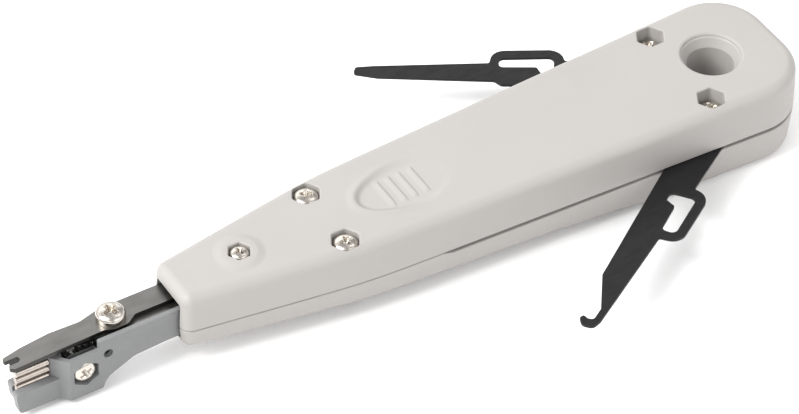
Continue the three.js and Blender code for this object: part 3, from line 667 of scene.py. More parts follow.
THUMB_X, THUMB_Y, THUMB_LENGTH, THUMB_WIDTH = -64.0, -0.3, 12.1, 7.5
THUMB_REAR_X, THUMB_DEPTH = -53.0, 0.62
LIP_HEIGHT, LIP_WIDTH, REAR_LIP_WIDTH, LIP_FALL = 0.3, 2.1, 0.5, 1.1
SKIRT_SLOPE, SKIRT_WIDTH = 0.02, 0.4  # outside the rest the face is lowered by a hair
SCOOP_WALL = 2.2
THUMB_RIBS = (-67.3, -64.7, -62.3, -59.6)
RIB_HEIGHT, RIB_RISE, RIB_FALL, RIB_HALF_LENGTH, RIB_END = 0.3, 1.3, 0.55, 4.3, 1.2


def thumb_height(x, y):
    """Height of the thumb rest over the top face: a lip round its front, a scoop inside it."""
    dx, dy = (x - THUMB_X) / THUMB_LENGTH, (y - THUMB_Y) / THUMB_WIDTH
    reach = math.hypot(dx, dy)
    rearward = dx / max(reach, 0.01)
    inside = (1 - reach) * (THUMB_WIDTH + (THUMB_LENGTH - THUMB_WIDTH) * rearward ** 2)
    if inside <= 0:
        return -SKIRT_SLOPE * min(-inside, SKIRT_WIDTH)
    front = smooth_step((0.45 - rearward) / 1.3)
    crest = REAR_LIP_WIDTH + (LIP_WIDTH - REAR_LIP_WIDTH) * front
    lip = smooth_step(inside / crest) * (1 - smooth_step((inside - crest) / LIP_FALL))
    along = (THUMB_REAR_X - x) / (THUMB_REAR_X - THUMB_X + THUMB_LENGTH)
    scoop = THUMB_DEPTH * math.sin(math.pi / 2 * min(max(along, 0), 0.85) ** 0.9)
    height = LIP_HEIGHT * front * lip - scoop * smooth_step((inside - 0.75 * crest) / SCOOP_WALL)
    for rib in THUMB_RIBS:
        across = (x - rib) / (RIB_FALL if x > rib else -RIB_RISE)
        end = (RIB_HALF_LENGTH - abs(y - THUMB_Y)) / RIB_END
        if across < 1 and end > 0:
            height += RIB_HEIGHT * smooth_step(1 - across) * smooth_step(end)
    return height


def thumb_rest():
    """Two pieces: one that fills the place of the thumb rest, and the cutter that shapes it."""
    pitch, margin, lid_rise = 0.2, 1, 3
    nx = round(2 * (THUMB_LENGTH + margin) / pitch)
    ny = round(2 * (THUMB_WIDTH + margin) / pitch)
    xs = [THUMB_X - THUMB_LENGTH - margin + pitch * i for i in range(nx + 1)]
    ys = [THUMB_Y - THUMB_WIDTH - margin + pitch * j for j in range(ny + 1)]
    vertices = [(x, y, top_height(x) + thumb_height(x, y)) for y in ys for x in xs]
    width = len(xs)
    faces = []
    for j in range(len(ys) - 1):
        for i in range(width - 1):
            a = j * width + i
            faces.append((a, a + width, a + width + 1, a + 1))
    edge = list(range(width))
    edge += [j * width + width - 1 for j in range(1, len(ys))]
    edge += [(len(ys) - 1) * width + i for i in range(width - 2, -1, -1)]
    edge += [j * width for j in range(len(ys) - 2, 0, -1)]
    lid = len(vertices)
    lid_height = top_height(THUMB_X) + lid_rise
    vertices += [(vertices[v][0], vertices[v][1], lid_height) for v in edge]
    for k, v in enumerate(edge):
        after = (k + 1) % len(edge)
        faces.append((v, edge[after], lid + after, lid + k))
    faces.append(tuple(lid + k for k in range(len(edge))))
    unit = circle(0, 0, 0, 1, ROUND_SEGMENTS)
    oval = [(THUMB_X + THUMB_LENGTH * x, THUMB_Y + THUMB_WIDTH * y) for x, y, _ in unit]
    rings = [[(x, y, top_height(x) + rise) for x, y in oval] for rise in (-1, 0.35)]
    return stack("thumb_blank", rings), make_object("thumb_shape", vertices, faces)


def mouth(name):
    """Cutter for the opening in the front face, with its edges rounded."""
    outline = rounded([
        (-MOUTH_Y, MOUTH_BOTTOM, 0.5), (MOUTH_Y, MOUTH_BOTTOM, 0.5), (MOUTH_Y, MOUTH_TOP, 0.5),
        (-MOUTH_Y, MOUTH_TOP, 0.5),
    ])
    middle = (MOUTH_TOP + MOUTH_BOTTOM) / 2
    rings = []
    flare = 0.3
    for x, grow in ((-2, 0.95), (-0.03, 0.9), (0.03, 0.55), (0.12, 0.25), (0.3, 0), (7, 0)):
        offset = flare * grow
        sx = 1 + offset / MOUTH_Y
        sz = 1 + offset / (MOUTH_TOP - middle)
        rings.append([(FRONT_X + x, y * sx, middle + (h - middle) * sz) for y, h in outline])
    return stack(name, rings)


# Of each pocket: across its flats, corner radius, floor, and radius of the boss round it.
POCKETS = {
    "front": (4.2, 0.35, 7.7, 3.1),
    "middle_far": (5.4, 0.9, 7.25, 2.9),
    "middle_near": (5.4, 0.9, 7.25, 2.9),
    "rear_far": (5.4, 0.6, 6.2, 4.1),
    "rear_near": (5.4, 0.6, 6.2, 4.1),
}
FRONT_BOSS_LOW, FRONT_BOSS_HIGH = 5.1, -3.2  # the head slides between the two front bosses
SHANK_HOLE_R, FRONT_SHANK_HOLE_R = 1.4, 1.15
NUT_PLAY, NUT_POCKET_LOW = 0.15, -14
CHANNEL_FRONT_X, CHANNEL_Y, CHANNEL_RIB_Y = FRONT_X + 6, 4.5, 5.7
STOP_FRONT_X, STOP_REAR_X, STOP_HOLE_R = -66, -64, 2.3
RAMP_OUTLINE = [(-112.85, -2.74), (-108, -2.74), (-108, -1.24)]
RAMP_LOW, RAMP_HIGH = 2.5, 7.5


def channel_ribs(h0, h1):
    """Ribs along both sides of the head, and the wall that the main spring's rod goes through."""
    ribs = []
    for side in (1, -1):
        lo, hi = sorted((side * CHANNEL_Y, side * CHANNEL_RIB_Y))
        ribs.append(box("rib", CHANNEL_FRONT_X, STOP_REAR_X, lo, hi, h0, h1))
    stop = box("stop", STOP_FRONT_X, STOP_REAR_X, -CHANNEL_RIB_Y, CHANNEL_RIB_Y, h0, h1)
    ribs.append(cut(stop, bar("hole", "x", STOP_HOLE_R, STOP_FRONT_X - 1, STOP_REAR_X + 1)))
    return ribs


def shank_hole(name, h0, h1):
    """Cutter for the hole round a shell screw's shank."""
    r = FRONT_SHANK_HOLE_R if name == "front" else SHANK_HOLE_R
    return bar("shank", "z", r, h0, h1, (*plan_middle(name + "_shell_screw"), 0), 32)


def make_top_shell():
    body = shell("top_shell_skin", 1, top_height, lambda x: RIM)
    parts, cutters = [], []
    for name, (across, corner, floor, boss_r) in POCKETS.items():
        x, y = plan_middle(name + "_shell_screw")
        low, rise = (FRONT_BOSS_LOW, PLINTH_HEIGHT) if name == "front" else (RIM, 0)
        parts.append(bar("boss", "z", boss_r, low, top_height(x) - 1, (x, y, 0)))
        cutters.append(pocket("pocket", x, y, across, corner, floor, rise))
        cutters.append(shank_hole(name, -1, floor + 0.5))
    parts.append(bar("tube", "z", TUBE_R, RIM, TOP_AT_HOLE - 1, (HOLE_X, 0, 0), ROUND_SEGMENTS))
    parts += channel_ribs(RIM, top_height(FRONT_X) - 1)
    blank, shape = thumb_rest()
    parts += [plinth("plinth", plan_middle("front_shell_screw")[0]), blank]
    join(body, *parts)
    cut(body, *cutters, mouth("mouth"), hanging_hole("hole"), shape)
    join(body, plate("ramp", RAMP_OUTLINE, RAMP_LOW, RAMP_HIGH))
    tidy_mesh(body, 0.05)
    stand_for(body, "top_shell", SHELL, 35)


def slot_rim(x):
    """The bottom shell's edge drops to make room for the folding blades."""
    return -RIM - (SLOT_H - RIM) * smooth_step((x - SLOT_FRONT_X) / SLOT_RUN)


def make_bottom_shell():
    body = shell("bottom_shell_skin", -1, bottom_height, slot_rim)
    parts, cutters = [], []
    boss_tops = {"front": FRONT_BOSS_HIGH, "middle": -RIM, "rear": -SLOT_H}
    for name, (*_, boss_r) in POCKETS.items():
        x, y = plan_middle(name + "_shell_screw")
        boss_top = boss_tops[name.split("_")[0]]
        parts.append(bar("boss", "z", boss_r, bottom_height(x) + 1, boss_top, (x, y, 0)))
        nut_lo, nut_hi = span(name + "_shell_nut")
        r = (nut_hi.y - nut_lo.y + NUT_PLAY) / math.sqrt(3)
        nut_top = nut_hi.z - PARTING_Z + 0.02
        hexagon = [(x + r * a, y + r * b) for a, b in HEX_CORNERS]
        cutters.append(plate("nut", hexagon, NUT_POCKET_LOW, nut_top))
        cutters.append(shank_hole(name, nut_top - 1, 1))
    parts.append(bar("tube", "z", TUBE_R, 1 - PARTING_Z, -RIM, (HOLE_X, 0, 0), ROUND_SEGMENTS))
    parts += channel_ribs(bottom_height(FRONT_X) + 1, -RIM)
    join(body, *parts)
    cut(body, *cutters, mouth("mouth"), hanging_hole("hole"))
    tidy_mesh(body, 0.05)
    stand_for(body, "bottom_shell", SHELL, 35)


make_top_shell()
make_bottom_shell()

# ---------- fasteners

THREAD_DEPTH, PLAIN_SHARE = 0.19, 0.35  # the upper share of a shank carries no thread
M2 = {"shank": 1.0, "head_r": 1.95, "head_h": 1.55}
M25 = {"shank": 1.25, "head_r": 2.5, "head_h": 1.6}
M3 = {"shank": 1.5, "head_r": 2.95, "head_h": 2.45}
# Of each nut: across its flats, its height and the radius of its hole.
M2_NUT, M25_NUT = (4.0, 1.6, 1.05), (5.0, 2.0, 1.3)
RECESS_TURNS = {"front": 18, "middle_far": 62, "middle_near": 8, "rear_far": 35, "rear_near": 74}
# Of a cross recess: each level over the seat as a share of the head, with the cross's scale.
RECESS_LEVELS = ((0.05, 0.12), (0.25, 0.36), (0.68, 0.72), (1.0, 0.94), (1.25, 1.08))


def plus_outline(arm, wing):
    """The cross of a screw recess, with its inner corners eased."""
    quarter = [(wing, -arm, 0.3 * wing), (wing, -wing, 0.25 * wing), (arm, -wing, 0.3 * wing)]
    corners = []
    for turn in range(4):
        a = math.pi / 2 * turn
        for x, y, r in quarter:
            corners.append((x * math.cos(a) - y * math.sin(a), x * math.sin(a) + y * math.cos(a), r))
    return rounded(corners, 30)


def cross_recess(head_r, head_h):
    """Cutter for a cross recess that narrows towards its floor."""
    arm, wing = 0.62 * head_r, 0.19 * head_r
    return stack("cross", [
        [(x * scale, y * scale, head_h * level) for x, y in plus_outline(arm, wing)]
        for level, scale in RECESS_LEVELS
    ])


def pan_screw(name, shank, head_r, head_h, length, turn=0.0, pitch=0.45, wall=0.36):
    """Pan head with its seat at height 0, over a shank with a thread on its lower part."""
    root = shank - THREAD_DEPTH
    profile = [(shank - 0.35, -length), (shank - 0.15, 0.12 - length)]
    h = 0.3 - length
    while h < -length * PLAIN_SHARE:
        profile += [(shank, h), (shank, h + 0.1 * pitch)]
        profile += [(root, h + 0.5 * pitch), (root, h + 0.6 * pitch)]
        h += pitch
    profile += [(shank, h), (shank, -0.15), (shank + 0.08, 0.0), (head_r - 0.12, 0.0)]
    edge = head_h * wall
    profile += [(head_r - 0.03, 0.05), (head_r, 0.14), (head_r, edge)]
    for i in range(1, 9):
        a = math.pi / 2 * i / 9
        profile.append((head_r * math.cos(a) ** 0.9, edge + (head_h - edge) * math.sin(a)))
    profile.append((0.02, head_h))
    piece = turned(name, profile, segments=40)
    cut(piece, place(cross_recess(head_r, head_h), turn=turn))
    return soften(piece, 0.035, 2, 35)


def hex_nut(name, across_flats, height, hole_r):
    """Nut on height 0 with chamfered corners and a countersunk hole."""
    r = across_flats / math.sqrt(3)
    piece = plate(name, [(r * x, r * y) for x, y in HEX_CORNERS], 0, height)
    flat = across_flats / 2
    rise = (r - flat) * math.tan(math.radians(30))
    cone = turned("cone", [
        (flat - 0.12, 0), (flat + 0.02, 0.06), (r, rise + 0.06), (r, height - rise - 0.06),
        (flat + 0.02, height - 0.06), (flat - 0.12, height),
    ], segments=72)
    combine(piece, [cone], "INTERSECT")
    hole = turned("hole", [
        (hole_r + 0.25, -0.1), (hole_r + 0.2, 0.0), (hole_r, 0.2), (hole_r, height - 0.2),
        (hole_r + 0.2, height), (hole_r + 0.25, height + 0.1),
    ], segments=32)
    return cut(piece, hole)


def make_shell_fasteners():
    for name, turn in RECESS_TURNS.items():
        size, nut_size = (M2, M2_NUT) if name == "front" else (M25, M25_NUT)
        node = name + "_shell_screw"
        x, y = plan_middle(node)
        lo, hi = span(node)
        seat = hi.z - PARTING_Z - size["head_h"]
        screw = pan_screw(node + "_fine", length=hi.z - lo.z - size["head_h"], turn=turn, **size)
        stand_for(place(screw, x, y, seat), node, NICKEL)
        node = name + "_shell_nut"
        nut = hex_nut(node + "_fine", *nut_size)
        stand_for(place(nut, x, y, heights(node)[0]), node, NICKEL)


# ---------- fold-out blades

ROOT_R, BLADE_EDGE = 4.2, 0.09
HOOK_ANGLE, RELEASE_ANGLE = 214, 149  # from +x to the blade's length, in degrees
SLEEVE_R, SLEEVE_BORE_R, SLEEVE_CHAMFER, SLEEVE_PLAY = 2.5, 1.35, 0.08, 0.08

# Outlines: u along the blade from its pivot, w towards the finger loop, corner radius.
HOOK_OUTLINE = [
    (0, -ROOT_R), (46.6, -4.2, 1), (55.5, -0.9, 1.5), (58.7, -1.1, 0.7), (59.0, -2.2, 0.6),
    (58.5, -3.3, 0.3), (59.4, -3.8, 0.5), (61, -2.7, 1.3), (60.7, -0.4, 1.3), (58.6, 0.3, 0.8),
    (32, 2.1, 0.5), (31.4, 6.45, 3.2), (16.4, 7, 3.2), (16.1, 3.4, 0.6), (0, ROOT_R),
]
HOOK_LOOP = [
    (18.4, 4.9, 1.2), (29.8, 4.6, 1.3), (29.8, 1.6, 1), (22.4, 1.6, 0.6), (21.4, -0.6, 0.6),
    (18.9, -0.6, 1.2),
]
RELEASE_OUTLINE = [
    (0, -ROOT_R), (24, -3.9), (30.3, -3.85, 1), (31.7, -2.55, 0.8), (55.8, -1.85, 0.8),
    (60.87, -0.8, 0.7), (60.37, 1.07, 0.7), (56.5, 1.5, 0.8), (32.6, 2.75, 0.5),
    (31.8, 6.6, 3.2), (17.2, 7.1, 3.2), (16.9, 3.6, 0.6), (0, ROOT_R),
]
RELEASE_LOOP = [
    (19, 4.8, 1.2), (30.6, 4.3, 1.3), (30.6, 1.5, 0.9), (22.8, 1.6, 0.6), (21.9, -0.4, 0.6),
    (19.3, -0.5, 1.2),
]


def root_arc():
    """The blade's round end about its pivot, from the loop side to the other."""
    angles = [math.pi / 2 + math.pi * i / 24 for i in range(1, 24)]
    return [(ROOT_R * math.cos(a), ROOT_R * math.sin(a)) for a in angles]


def make_pivot_sleeve(node):
    x, y = plan_middle(node)
    low, high = heights(node)
    r, bore, c = SLEEVE_R, SLEEVE_BORE_R, SLEEVE_CHAMFER
    profile = [
        (bore, low + c), (bore + c, low), (r - c, low), (r, low + c), (r, high - c),
        (r - c, high), (bore + c, high), (bore, high - c),
    ]
    tube = stack(node + "_fine", [circle(x, y, h, radius, 48) for radius, h in profile], True)
    stand_for(tube, node, NICKEL)


def make_folding_blade(node, outline, loop, angle, mirror):
    h0, h1 = heights(node)
    flip = -1 if mirror else 1
    whole = [(u, w * flip, *r) for u, w, *r in outline + root_arc()]
    hole = [(u, w * flip, *r) for u, w, *r in loop]
    blade = plate(node + "_fine", whole, h0, h1, 10)
    pivot = bar("pivot", "z", SLEEVE_R + SLEEVE_PLAY, h0 - 1, h1 + 1)
    cut(blade, plate("loop", hole, h0 - 1, h1 + 1, 10), pivot)
    soften(blade, BLADE_EDGE)
    sleeve = node.replace("blade", "pivot_sleeve")
    stand_for(place(blade, *plan_middle(sleeve), turn=angle), node, BLACK)
    make_pivot_sleeve(sleeve)


# ---------- head

head_lo, head_hi = span("fork_blade")
TIP_X, FORK_REAR_X = head_lo.x, head_hi.x
FORK_BOTTOM, FORK_TOP = heights("fork_blade")
HEAD_TRAVEL, SENSOR_TRAVEL = 5, 2.5  # towards the rear
HEAD_PIVOT = plan_middle("scissor_pivot_screw")
RIVET_NAMES = ("holder_rivet", "plunger_rivet_far", "plunger_rivet_near")
RIVET_R, RIVET_HEAD_R, RIVET_EASE = 1.0, 1.69, 0.12
PIVOT_HOLE_R = 1.56
HEAD_CUT = (0, 8)  # the heights that cutters through the two head blades reach over
# The slot that the front shell screw runs in, with its round ends.
FORK_SLOT = [(-106.5, -1.25, 1.24), (-99.15, -1.25, 1.24), (-99.15, 1.25, 1.24), (-106.5, 1.25, 1.24)]


def make_fork_blade():
    outline = [
        (TIP_X + 0.1, 0.65, 0.2), (TIP_X, 1.6, 0.3), (TIP_X + 4.1, 2.45), (TIP_X + 10.6, 3.15),
        (-133.8, 2.93, 2), (-129.2, 4.1, 2.5), (TIP_X + 27, 4.2), (FORK_REAR_X, 4.2, 0.5),
        (FORK_REAR_X, -3.9, 0.5), (-102.9, -3.9, 0.4), (-102.9, -2.6, 0.4), (-107.4, -2.6, 0.4),
        (-107.4, -0.55, 0.4), (-116.3, -0.65), (-123.6, -0.6, 1), (-126, -2.2, 1.8),
        (-128.8, -2.2, 1.8), (-130.8, -1.45, 1.5), (TIP_X + 8.6, -1.75), (TIP_X + 0.9, -2, 0.3),
        (TIP_X + 0.15, -1.45, 0.2), (TIP_X + 0.25, -0.7, 0.2), (TIP_X + 2.3, -0.7, 0.3),
        (TIP_X + 2.85, -0.2, 0.3), (TIP_X + 2.85, 0.65, 0.3),
    ]
    blade = plate("fork_blade_fine", outline, FORK_BOTTOM, FORK_TOP, 8)
    pivot = bar("pivot", "z", PIVOT_HOLE_R, *HEAD_CUT, (*HEAD_PIVOT, 0))
    cutters = [plate("slot", FORK_SLOT, *HEAD_CUT), pivot]
    for node in RIVET_NAMES:
        at = (*plan_middle(node), 0)
        cutters.append(bar("hole", "z", RIVET_R + 0.03, *HEAD_CUT, at))
    cut(blade, *cutters)
    soften(blade, 0.07)
    stand_for(blade, "fork_blade", STEEL)


def make_scissor_blade():
    outline = [
        (-149.8, 0.95, 0.1), (-149.7, 1.45, 0.2), (-140.3, 2.7, 3), (-133, 2.6, 3),
        (-130, 3.6, 1.5), (-126, 3.6, 1.5), (-121, 0.4, 2), (-113, -1.2, 0.3),
        (-113, -2.55, 0.3), (-127, -2.4), (-131, -1.7),
    ]
    blade = plate("scissor_blade_fine", outline, *heights("scissor_blade"), 8)
    cut(blade, bar("pivot", "z", PIVOT_HOLE_R, *HEAD_CUT, (*HEAD_PIVOT, 0)))
    soften(blade, 0.06)
    stand_for(blade, "scissor_blade", STEEL)


def make_rivets():
    """Rivets with a low dome over the fork blade."""
    seat, c = FORK_TOP + 0.02, RIVET_EASE
    for node in RIVET_NAMES:
        x, y = plan_middle(node)
        low, high = heights(node)
        profile = [(RIVET_R - c, low), (RIVET_R, low + c), (RIVET_R, seat), (1.62, seat)]
        profile += [(RIVET_HEAD_R, seat + c / 2), (RIVET_HEAD_R, seat + c)]
        for i in range(1, 8):
            a = math.pi / 2 * i / 8
            h = seat + c + (high - seat - c) * math.sin(a)
            profile.append((RIVET_HEAD_R * math.cos(a), h))
        profile.append((0.02, high))
        stand_for(turned(node + "_fine", profile, x, y, 36), node, ZINC)


def make_pivot_screw():
    lo, hi = span("scissor_pivot_screw")
    length = hi.z - lo.z - M3["head_h"]
    screw = pan_screw("scissor_pivot_screw_fine", length=length, turn=22, pitch=0.5, wall=0.48, **M3)
    place(screw, *HEAD_PIVOT, hi.z - PARTING_Z - M3["head_h"])
    stand_for(screw, "scissor_pivot_screw", NICKEL)


def make_leaf_spring():
    """A straight strip on edge, cut across its length in even steps."""
    lo, hi = span("scissor_return_spring")
    front, rear, thickness, steps = (lo.x, 0.22), (hi.x, 1.2), 0.25, 24
    c = 0.03
    h0, h1 = heights("scissor_return_spring")
    section = [(c, h0), (thickness - c, h0), (thickness, h0 + c), (thickness, h1 - c)]
    section += [(thickness - c, h1), (c, h1), (0, h1 - c), (0, h0 + c)]
    rings = []
    for i in range(steps + 1):
        t = i / steps
        x = rear[0] + (front[0] - rear[0]) * t
        y = rear[1] + (front[1] - rear[1]) * t
        rings.append([(x, y + dy, h) for dy, h in section])
    spring = stack("scissor_return_spring_fine", rings)
    spring.data.transform(Matrix.Translation((0, 0, PARTING_Z * MM)))
    shade(spring)
    spring.data.materials.append(SPRING)
    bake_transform(spring)
    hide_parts("scissor_return_spring")


def coil(name, start, end, centre, r, wire, turns, per_turn, around=10):
    """An open coil along x, of round wire with so many points around it."""
    rings = []
    steps = round(turns * per_turn)
    for i in range(steps + 1):
        t = i / steps
        angle = 2 * math.pi * turns * t
        along = start + wire / 2 + (end - start - wire) * t
        out = Vector((0, math.cos(angle), math.sin(angle)))
        middle = Vector((along, centre[0], centre[1])) + out * r
        ring = []
        for k in range(around):
            a = 2 * math.pi * k / around
            ring.append(middle + (out * math.cos(a) + Vector((1, 0, 0)) * math.sin(a)) * wire / 2)
        rings.append(ring)
    return stack(name, rings)


def make_springs():
    """The two coil springs, each with its turns spread evenly along the length of its CAD node."""
    for node, joint, travel, middle, r, wire, turns, per_turn in (
        ("main_spring", "head_slide", HEAD_TRAVEL, (0, 0), 3.05, 0.9, 8, 36),
        ("sensor_spring", "sensor_slide", SENSOR_TRAVEL, (1, 0.6), 1.3, 0.4, 6, 30),
    ):
        lo, hi = span(node)
        spring = coil(node + "_fine", lo.x, hi.x, middle, r, wire, turns, per_turn)
        stand_for(spring, node, SPRING, 60)
        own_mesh(spring)


def make_rod(node, r, chamfer, material=NICKEL):
    lo, hi = span(node)
    rod = bar(node + "_fine", "x", r, lo.x, hi.x, rod_axis(node), 48, chamfer)
    stand_for(rod, node, material)


# ---------- wire sensor

SENSOR_Y, SENSOR_INNER = 3.9, 2.95  # half of its width, outside and inside
SENSOR_STEP_X, SENSOR_REAR_X = -133.2, -105.9
NOSE_X, NOSE_REAR_X = -142.2, -139
SENSOR_TOP, BLOCK_TOP, SENSOR_BOTTOM = 4.35, 2.05, -8.3
SENSOR_FLOOR = SENSOR_BOTTOM + 1.1
SENSOR_CUT = 6  # half the length of cutters across the sensor
# Of each leg: its tip, its two sides and its top.
LEGS = {"near_leg": (-150.3, -2.3, -0.6, -2.9), "far_leg": (-149.6, 1.15, 3.05, -3.5)}
LEG_REAR_X, LEG_BOTTOM = -139.3, -8.0
CLAMP_SEAT_Y, CLAMP_POCKET_FLATS, CLAMP_HOLE_R = -2.3, 5.3, 1.31
PAD_FRONT_X, CLAMP_PAD_Y, PAD_LOW, PAD_HIGH = -139.2, -1.6, -6.3, 1.6
STOP_HOOK_X, STOP_HOOK_Y, STOP_HOOK_LOW = -106.9, 2, -2.6
RECESS_WALL, RECESS_FLOOR = 0.95, 1.5
WALL_HOLE_X, WALL_HOLE_H, WALL_HOLE_R = -131.3, 0.4, 1.0  # through the near wall
ROD_R, ROD_PLAY, GROOVE_FRONT_X = 0.8, 0.02, -150.2
ROD_NAMES = ("sensor_rod_lower", "sensor_rod_middle", "sensor_rod_upper")


def hex_hole(name, across_flats, y0, y1, x, h):
    """Cutter for a hexagonal pocket with corners above and below its axis."""
    r = across_flats / math.sqrt(3)
    corners = [(x + r * b, h + r * a, 0.35) for a, b in HEX_CORNERS]
    return side_plate(name, corners, y0, y1)


def make_sensor_body():
    outline = [
        (SENSOR_REAR_X, SENSOR_TOP), (SENSOR_STEP_X, SENSOR_TOP, 0.3),
        (SENSOR_STEP_X, BLOCK_TOP, 0.2), (-140.1, BLOCK_TOP), (-139.4, SENSOR_BOTTOM),
        (-132.6, SENSOR_BOTTOM, 0.5), (-132.2, -6.9, 0.4), (-131.3, -5.8, 1),
        (-125.8, -3.05, 3), (-119, -2.65, 6), (SENSOR_REAR_X, -2.65),
    ]
    trough = [
        (SENSOR_REAR_X + 1, 6), (-139.1, 6), (-138.4, SENSOR_FLOOR, 0.4),
        (-133.7, SENSOR_FLOOR, 0.4), (-133.2, -6.2, 0.4), (-132.2, -5, 1), (-125.4, -1.8, 3),
        (SENSOR_REAR_X + 1, -1.55),
    ]
    inner = SENSOR_INNER
    body = side_plate("sensor_body_fine", outline, -SENSOR_Y, SENSOR_Y, 8)
    join(body, box("nose", NOSE_X, NOSE_REAR_X, -SENSOR_Y, SENSOR_Y, SENSOR_BOTTOM, BLOCK_TOP))
    slant = [(NOSE_X, 4.1), (NOSE_X, -0.85, 0.5), (-138.64, -5), (-152, -5), (-152, 4.1)]
    cut(
        body,
        plate("slant", slant, -12, 4),
        side_plate("trough", trough, -inner, inner, 8),
        box("far_top", -150, -100, 0, 9, BLOCK_TOP, 9),
        box("rear", -110, -100, -inner, inner, -4, 6),
    )
    legs = []
    for name, (tip, y0, y1, top) in LEGS.items():
        foot = [(tip, top, 0.5), (tip + 0.5, LEG_BOTTOM, 1), (LEG_REAR_X, LEG_BOTTOM), (LEG_REAR_X, top)]
        legs.append(side_plate(name, foot, y0, y1))
    near, far = -inner - 0.1, inner + 0.1
    hook = (STOP_HOOK_LOW, BLOCK_TOP)
    join(
        body,
        *legs,
        box("pad", PAD_FRONT_X, SENSOR_STEP_X, near, CLAMP_PAD_Y, PAD_LOW, PAD_HIGH),
        box("far_hook", STOP_HOOK_X, SENSOR_REAR_X, STOP_HOOK_Y, far, *hook),
        box("near_hook", STOP_HOOK_X, SENSOR_REAR_X, near, -STOP_HOOK_Y, *hook),
    )
    recess = [
        (NOSE_X + RECESS_WALL, inner), (NOSE_X + RECESS_WALL, -0.5), (-139.15, -inner),
        (SENSOR_STEP_X, -inner), (SENSOR_STEP_X, inner),
    ]
    grooves = []
    for node in ROD_NAMES:
        rear_x = span(node)[1].x + 0.1
        grooves.append(bar("groove", "x", ROD_R + ROD_PLAY, GROOVE_FRONT_X, rear_x, rod_axis(node)))
    clamp_x, _, clamp_h = middle_of("sensor_clamp_screw")
    cut(
        body,
        plate("recess", recess, RECESS_FLOOR, 9),
        bar("screw", "y", CLAMP_HOLE_R, -SENSOR_CUT, SENSOR_CUT, (clamp_x, 0, clamp_h)),
        hex_hole("pocket", CLAMP_POCKET_FLATS, -SENSOR_CUT, CLAMP_SEAT_Y, clamp_x, clamp_h),
        bar("hole", "y", WALL_HOLE_R, -SENSOR_CUT, -inner + 0.3, (WALL_HOLE_X, 0, WALL_HOLE_H)),
        *grooves,
    )
    soften(body, 0.2, 3, 25)
    stand_for(body, "sensor_body", SENSOR)


def make_clamp():
    """The screw across the sensor's block and its nut on the far side."""
    x, _, h = middle_of("sensor_clamp_screw")
    lo, hi = span("sensor_clamp_screw")
    length = hi.y - lo.y - M25["head_h"]
    screw = pan_screw("sensor_clamp_screw_fine", length=length, turn=30, **M25)
    place(screw, x, lo.y + M25["head_h"], h, 90, "X")
    stand_for(screw, "sensor_clamp_screw", NICKEL)
    x, _, h = middle_of("sensor_clamp_nut")
    nut = hex_nut("sensor_clamp_nut_fine", *M25_NUT)
    place(nut, x, span("sensor_clamp_nut")[0].y, h, -90, "X")
    stand_for(nut, "sensor_clamp_nut", NICKEL)


make_shell_fasteners()
make_folding_blade("hook_blade", HOOK_OUTLINE, HOOK_LOOP, HOOK_ANGLE, mirror=False)
make_folding_blade("release_blade", RELEASE_OUTLINE, RELEASE_LOOP, RELEASE_ANGLE, mirror=True)
make_fork_blade()
make_scissor_blade()
refined("blade_holder", ZINC, 0.2)
refined("plunger_block", ZINC, 0.25)
make_rivets()
make_pivot_screw()
make_leaf_spring()
make_springs()
make_rod("spring_guide_rod", 1.9, 0.35)
for rod in ROD_NAMES:
    make_rod(rod, ROD_R, 0.18, WORN_NICKEL)
make_sensor_body()
make_clamp()

# ---------- camera, light and floor

AIM = Vector((-64.64, -1.32, 14.0))
AZIMUTH, ELEVATION, ROLL = -33.15, 43.87, 2.0
DISTANCE = 728.9
LENS, SENSOR_WIDTH = 166.6, 36.0
KEY_AT, KEY_TARGET, KEY_SIZE, KEY_POWER = (-1450, 260, 1400), (-60, 0, 10), (0.9, 0.9), 42
# The sky's strength at the horizon and higher up, and how far its patches stray from that.
SKY_LOW, SKY_HIGH, SKY_FULL_AT = 0.6, 1.5, 0.75
PATCH_LOW, PATCH_HIGH, PATCH_SCALE = 0.35, 1.65, 1.6
FLOOR_HALF, FLOOR_WHITE, FLOOR_GLOW = 3000.0, 0.95, 0.06


def make_camera():
    az, el = math.radians(AZIMUTH), math.radians(ELEVATION)
    back = Vector((math.sin(az) * math.cos(el), -math.cos(az) * math.cos(el), math.sin(el)))
    camera = bpy.data.objects.new("camera", bpy.data.cameras.new("camera"))
    bpy.context.scene.collection.objects.link(camera)
    camera.data.lens = LENS
    camera.data.sensor_width = SENSOR_WIDTH
    camera.location = (AIM + back * DISTANCE) * MM
    camera.rotation_mode = "QUATERNION"
    turn = Matrix.Rotation(math.radians(ROLL), 3, back)
    level = (-back).to_track_quat("-Z", "Y").to_matrix()
    camera.rotation_quaternion = (turn @ level).to_quaternion()
    camera.data.clip_start, camera.data.clip_end = 0.01, 20
    bpy.context.scene.camera = camera


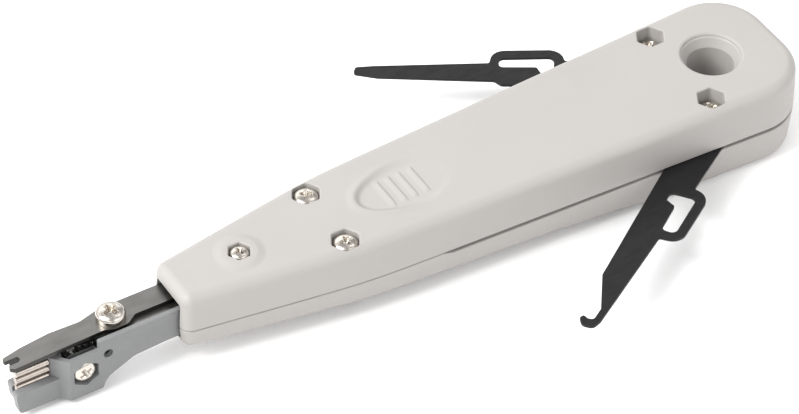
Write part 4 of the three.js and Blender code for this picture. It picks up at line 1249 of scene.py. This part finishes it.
def make_key_light():
    data = bpy.data.lights.new("key", "AREA")
    data.shape = "RECTANGLE"
    data.size, data.size_y = KEY_SIZE
    data.energy = KEY_POWER
    light = bpy.data.objects.new("key", data)
    light.location = Vector(KEY_AT) * MM
    light.rotation_mode = "QUATERNION"
    light.rotation_quaternion = (Vector(KEY_TARGET) - Vector(KEY_AT)).to_track_quat("-Z", "Y")
    bpy.context.scene.collection.objects.link(light)


def make_sky():
    """Even studio light, dimmer towards the horizon and a little patchy for the metal to mirror."""
    world = bpy.data.worlds.new("studio")
    world.use_nodes = True
    tree = world.node_tree
    direction = tree.nodes.new("ShaderNodeTexCoord").outputs["Generated"]
    split = tree.nodes.new("ShaderNodeSeparateXYZ")
    tree.links.new(direction, split.inputs["Vector"])
    patches = tree.nodes.new("ShaderNodeTexNoise")
    set_inputs(patches, Scale=PATCH_SCALE, Detail=1)
    tree.links.new(direction, patches.inputs["Vector"])
    height = map_range(tree, split.outputs["Z"], 0.0, SKY_FULL_AT, SKY_LOW, SKY_HIGH)
    contrast = map_range(tree, patches.outputs["Fac"], 0.38, 0.62, PATCH_LOW, PATCH_HIGH)
    strength = tree.nodes.new("ShaderNodeMath")
    strength.operation = "MULTIPLY"
    tree.links.new(height, strength.inputs[0])
    tree.links.new(contrast, strength.inputs[1])
    background = tree.nodes["Background"]
    set_inputs(background, Color=(1, 1, 1, 1))
    tree.links.new(strength.outputs["Value"], background.inputs["Strength"])
    bpy.context.scene.world = world


def make_studio():
    make_key_light()
    make_sky()
    size = FLOOR_HALF
    corners = [(-size, -size, 0), (size, -size, 0), (size, size, 0), (-size, size, 0)]
    floor = make_object("floor", corners, [(0, 1, 2, 3)])
    white, glow = (FLOOR_WHITE, FLOOR_WHITE, FLOOR_WHITE), (1, 1, 1, 1)
    look = Look("floor", white, 0.9, Emission_Color=glow, Emission_Strength=FLOOR_GLOW)
    floor.data.materials.append(look.material)


make_camera()
make_studio()
bpy.context.scene.view_settings.view_transform = "Standard"
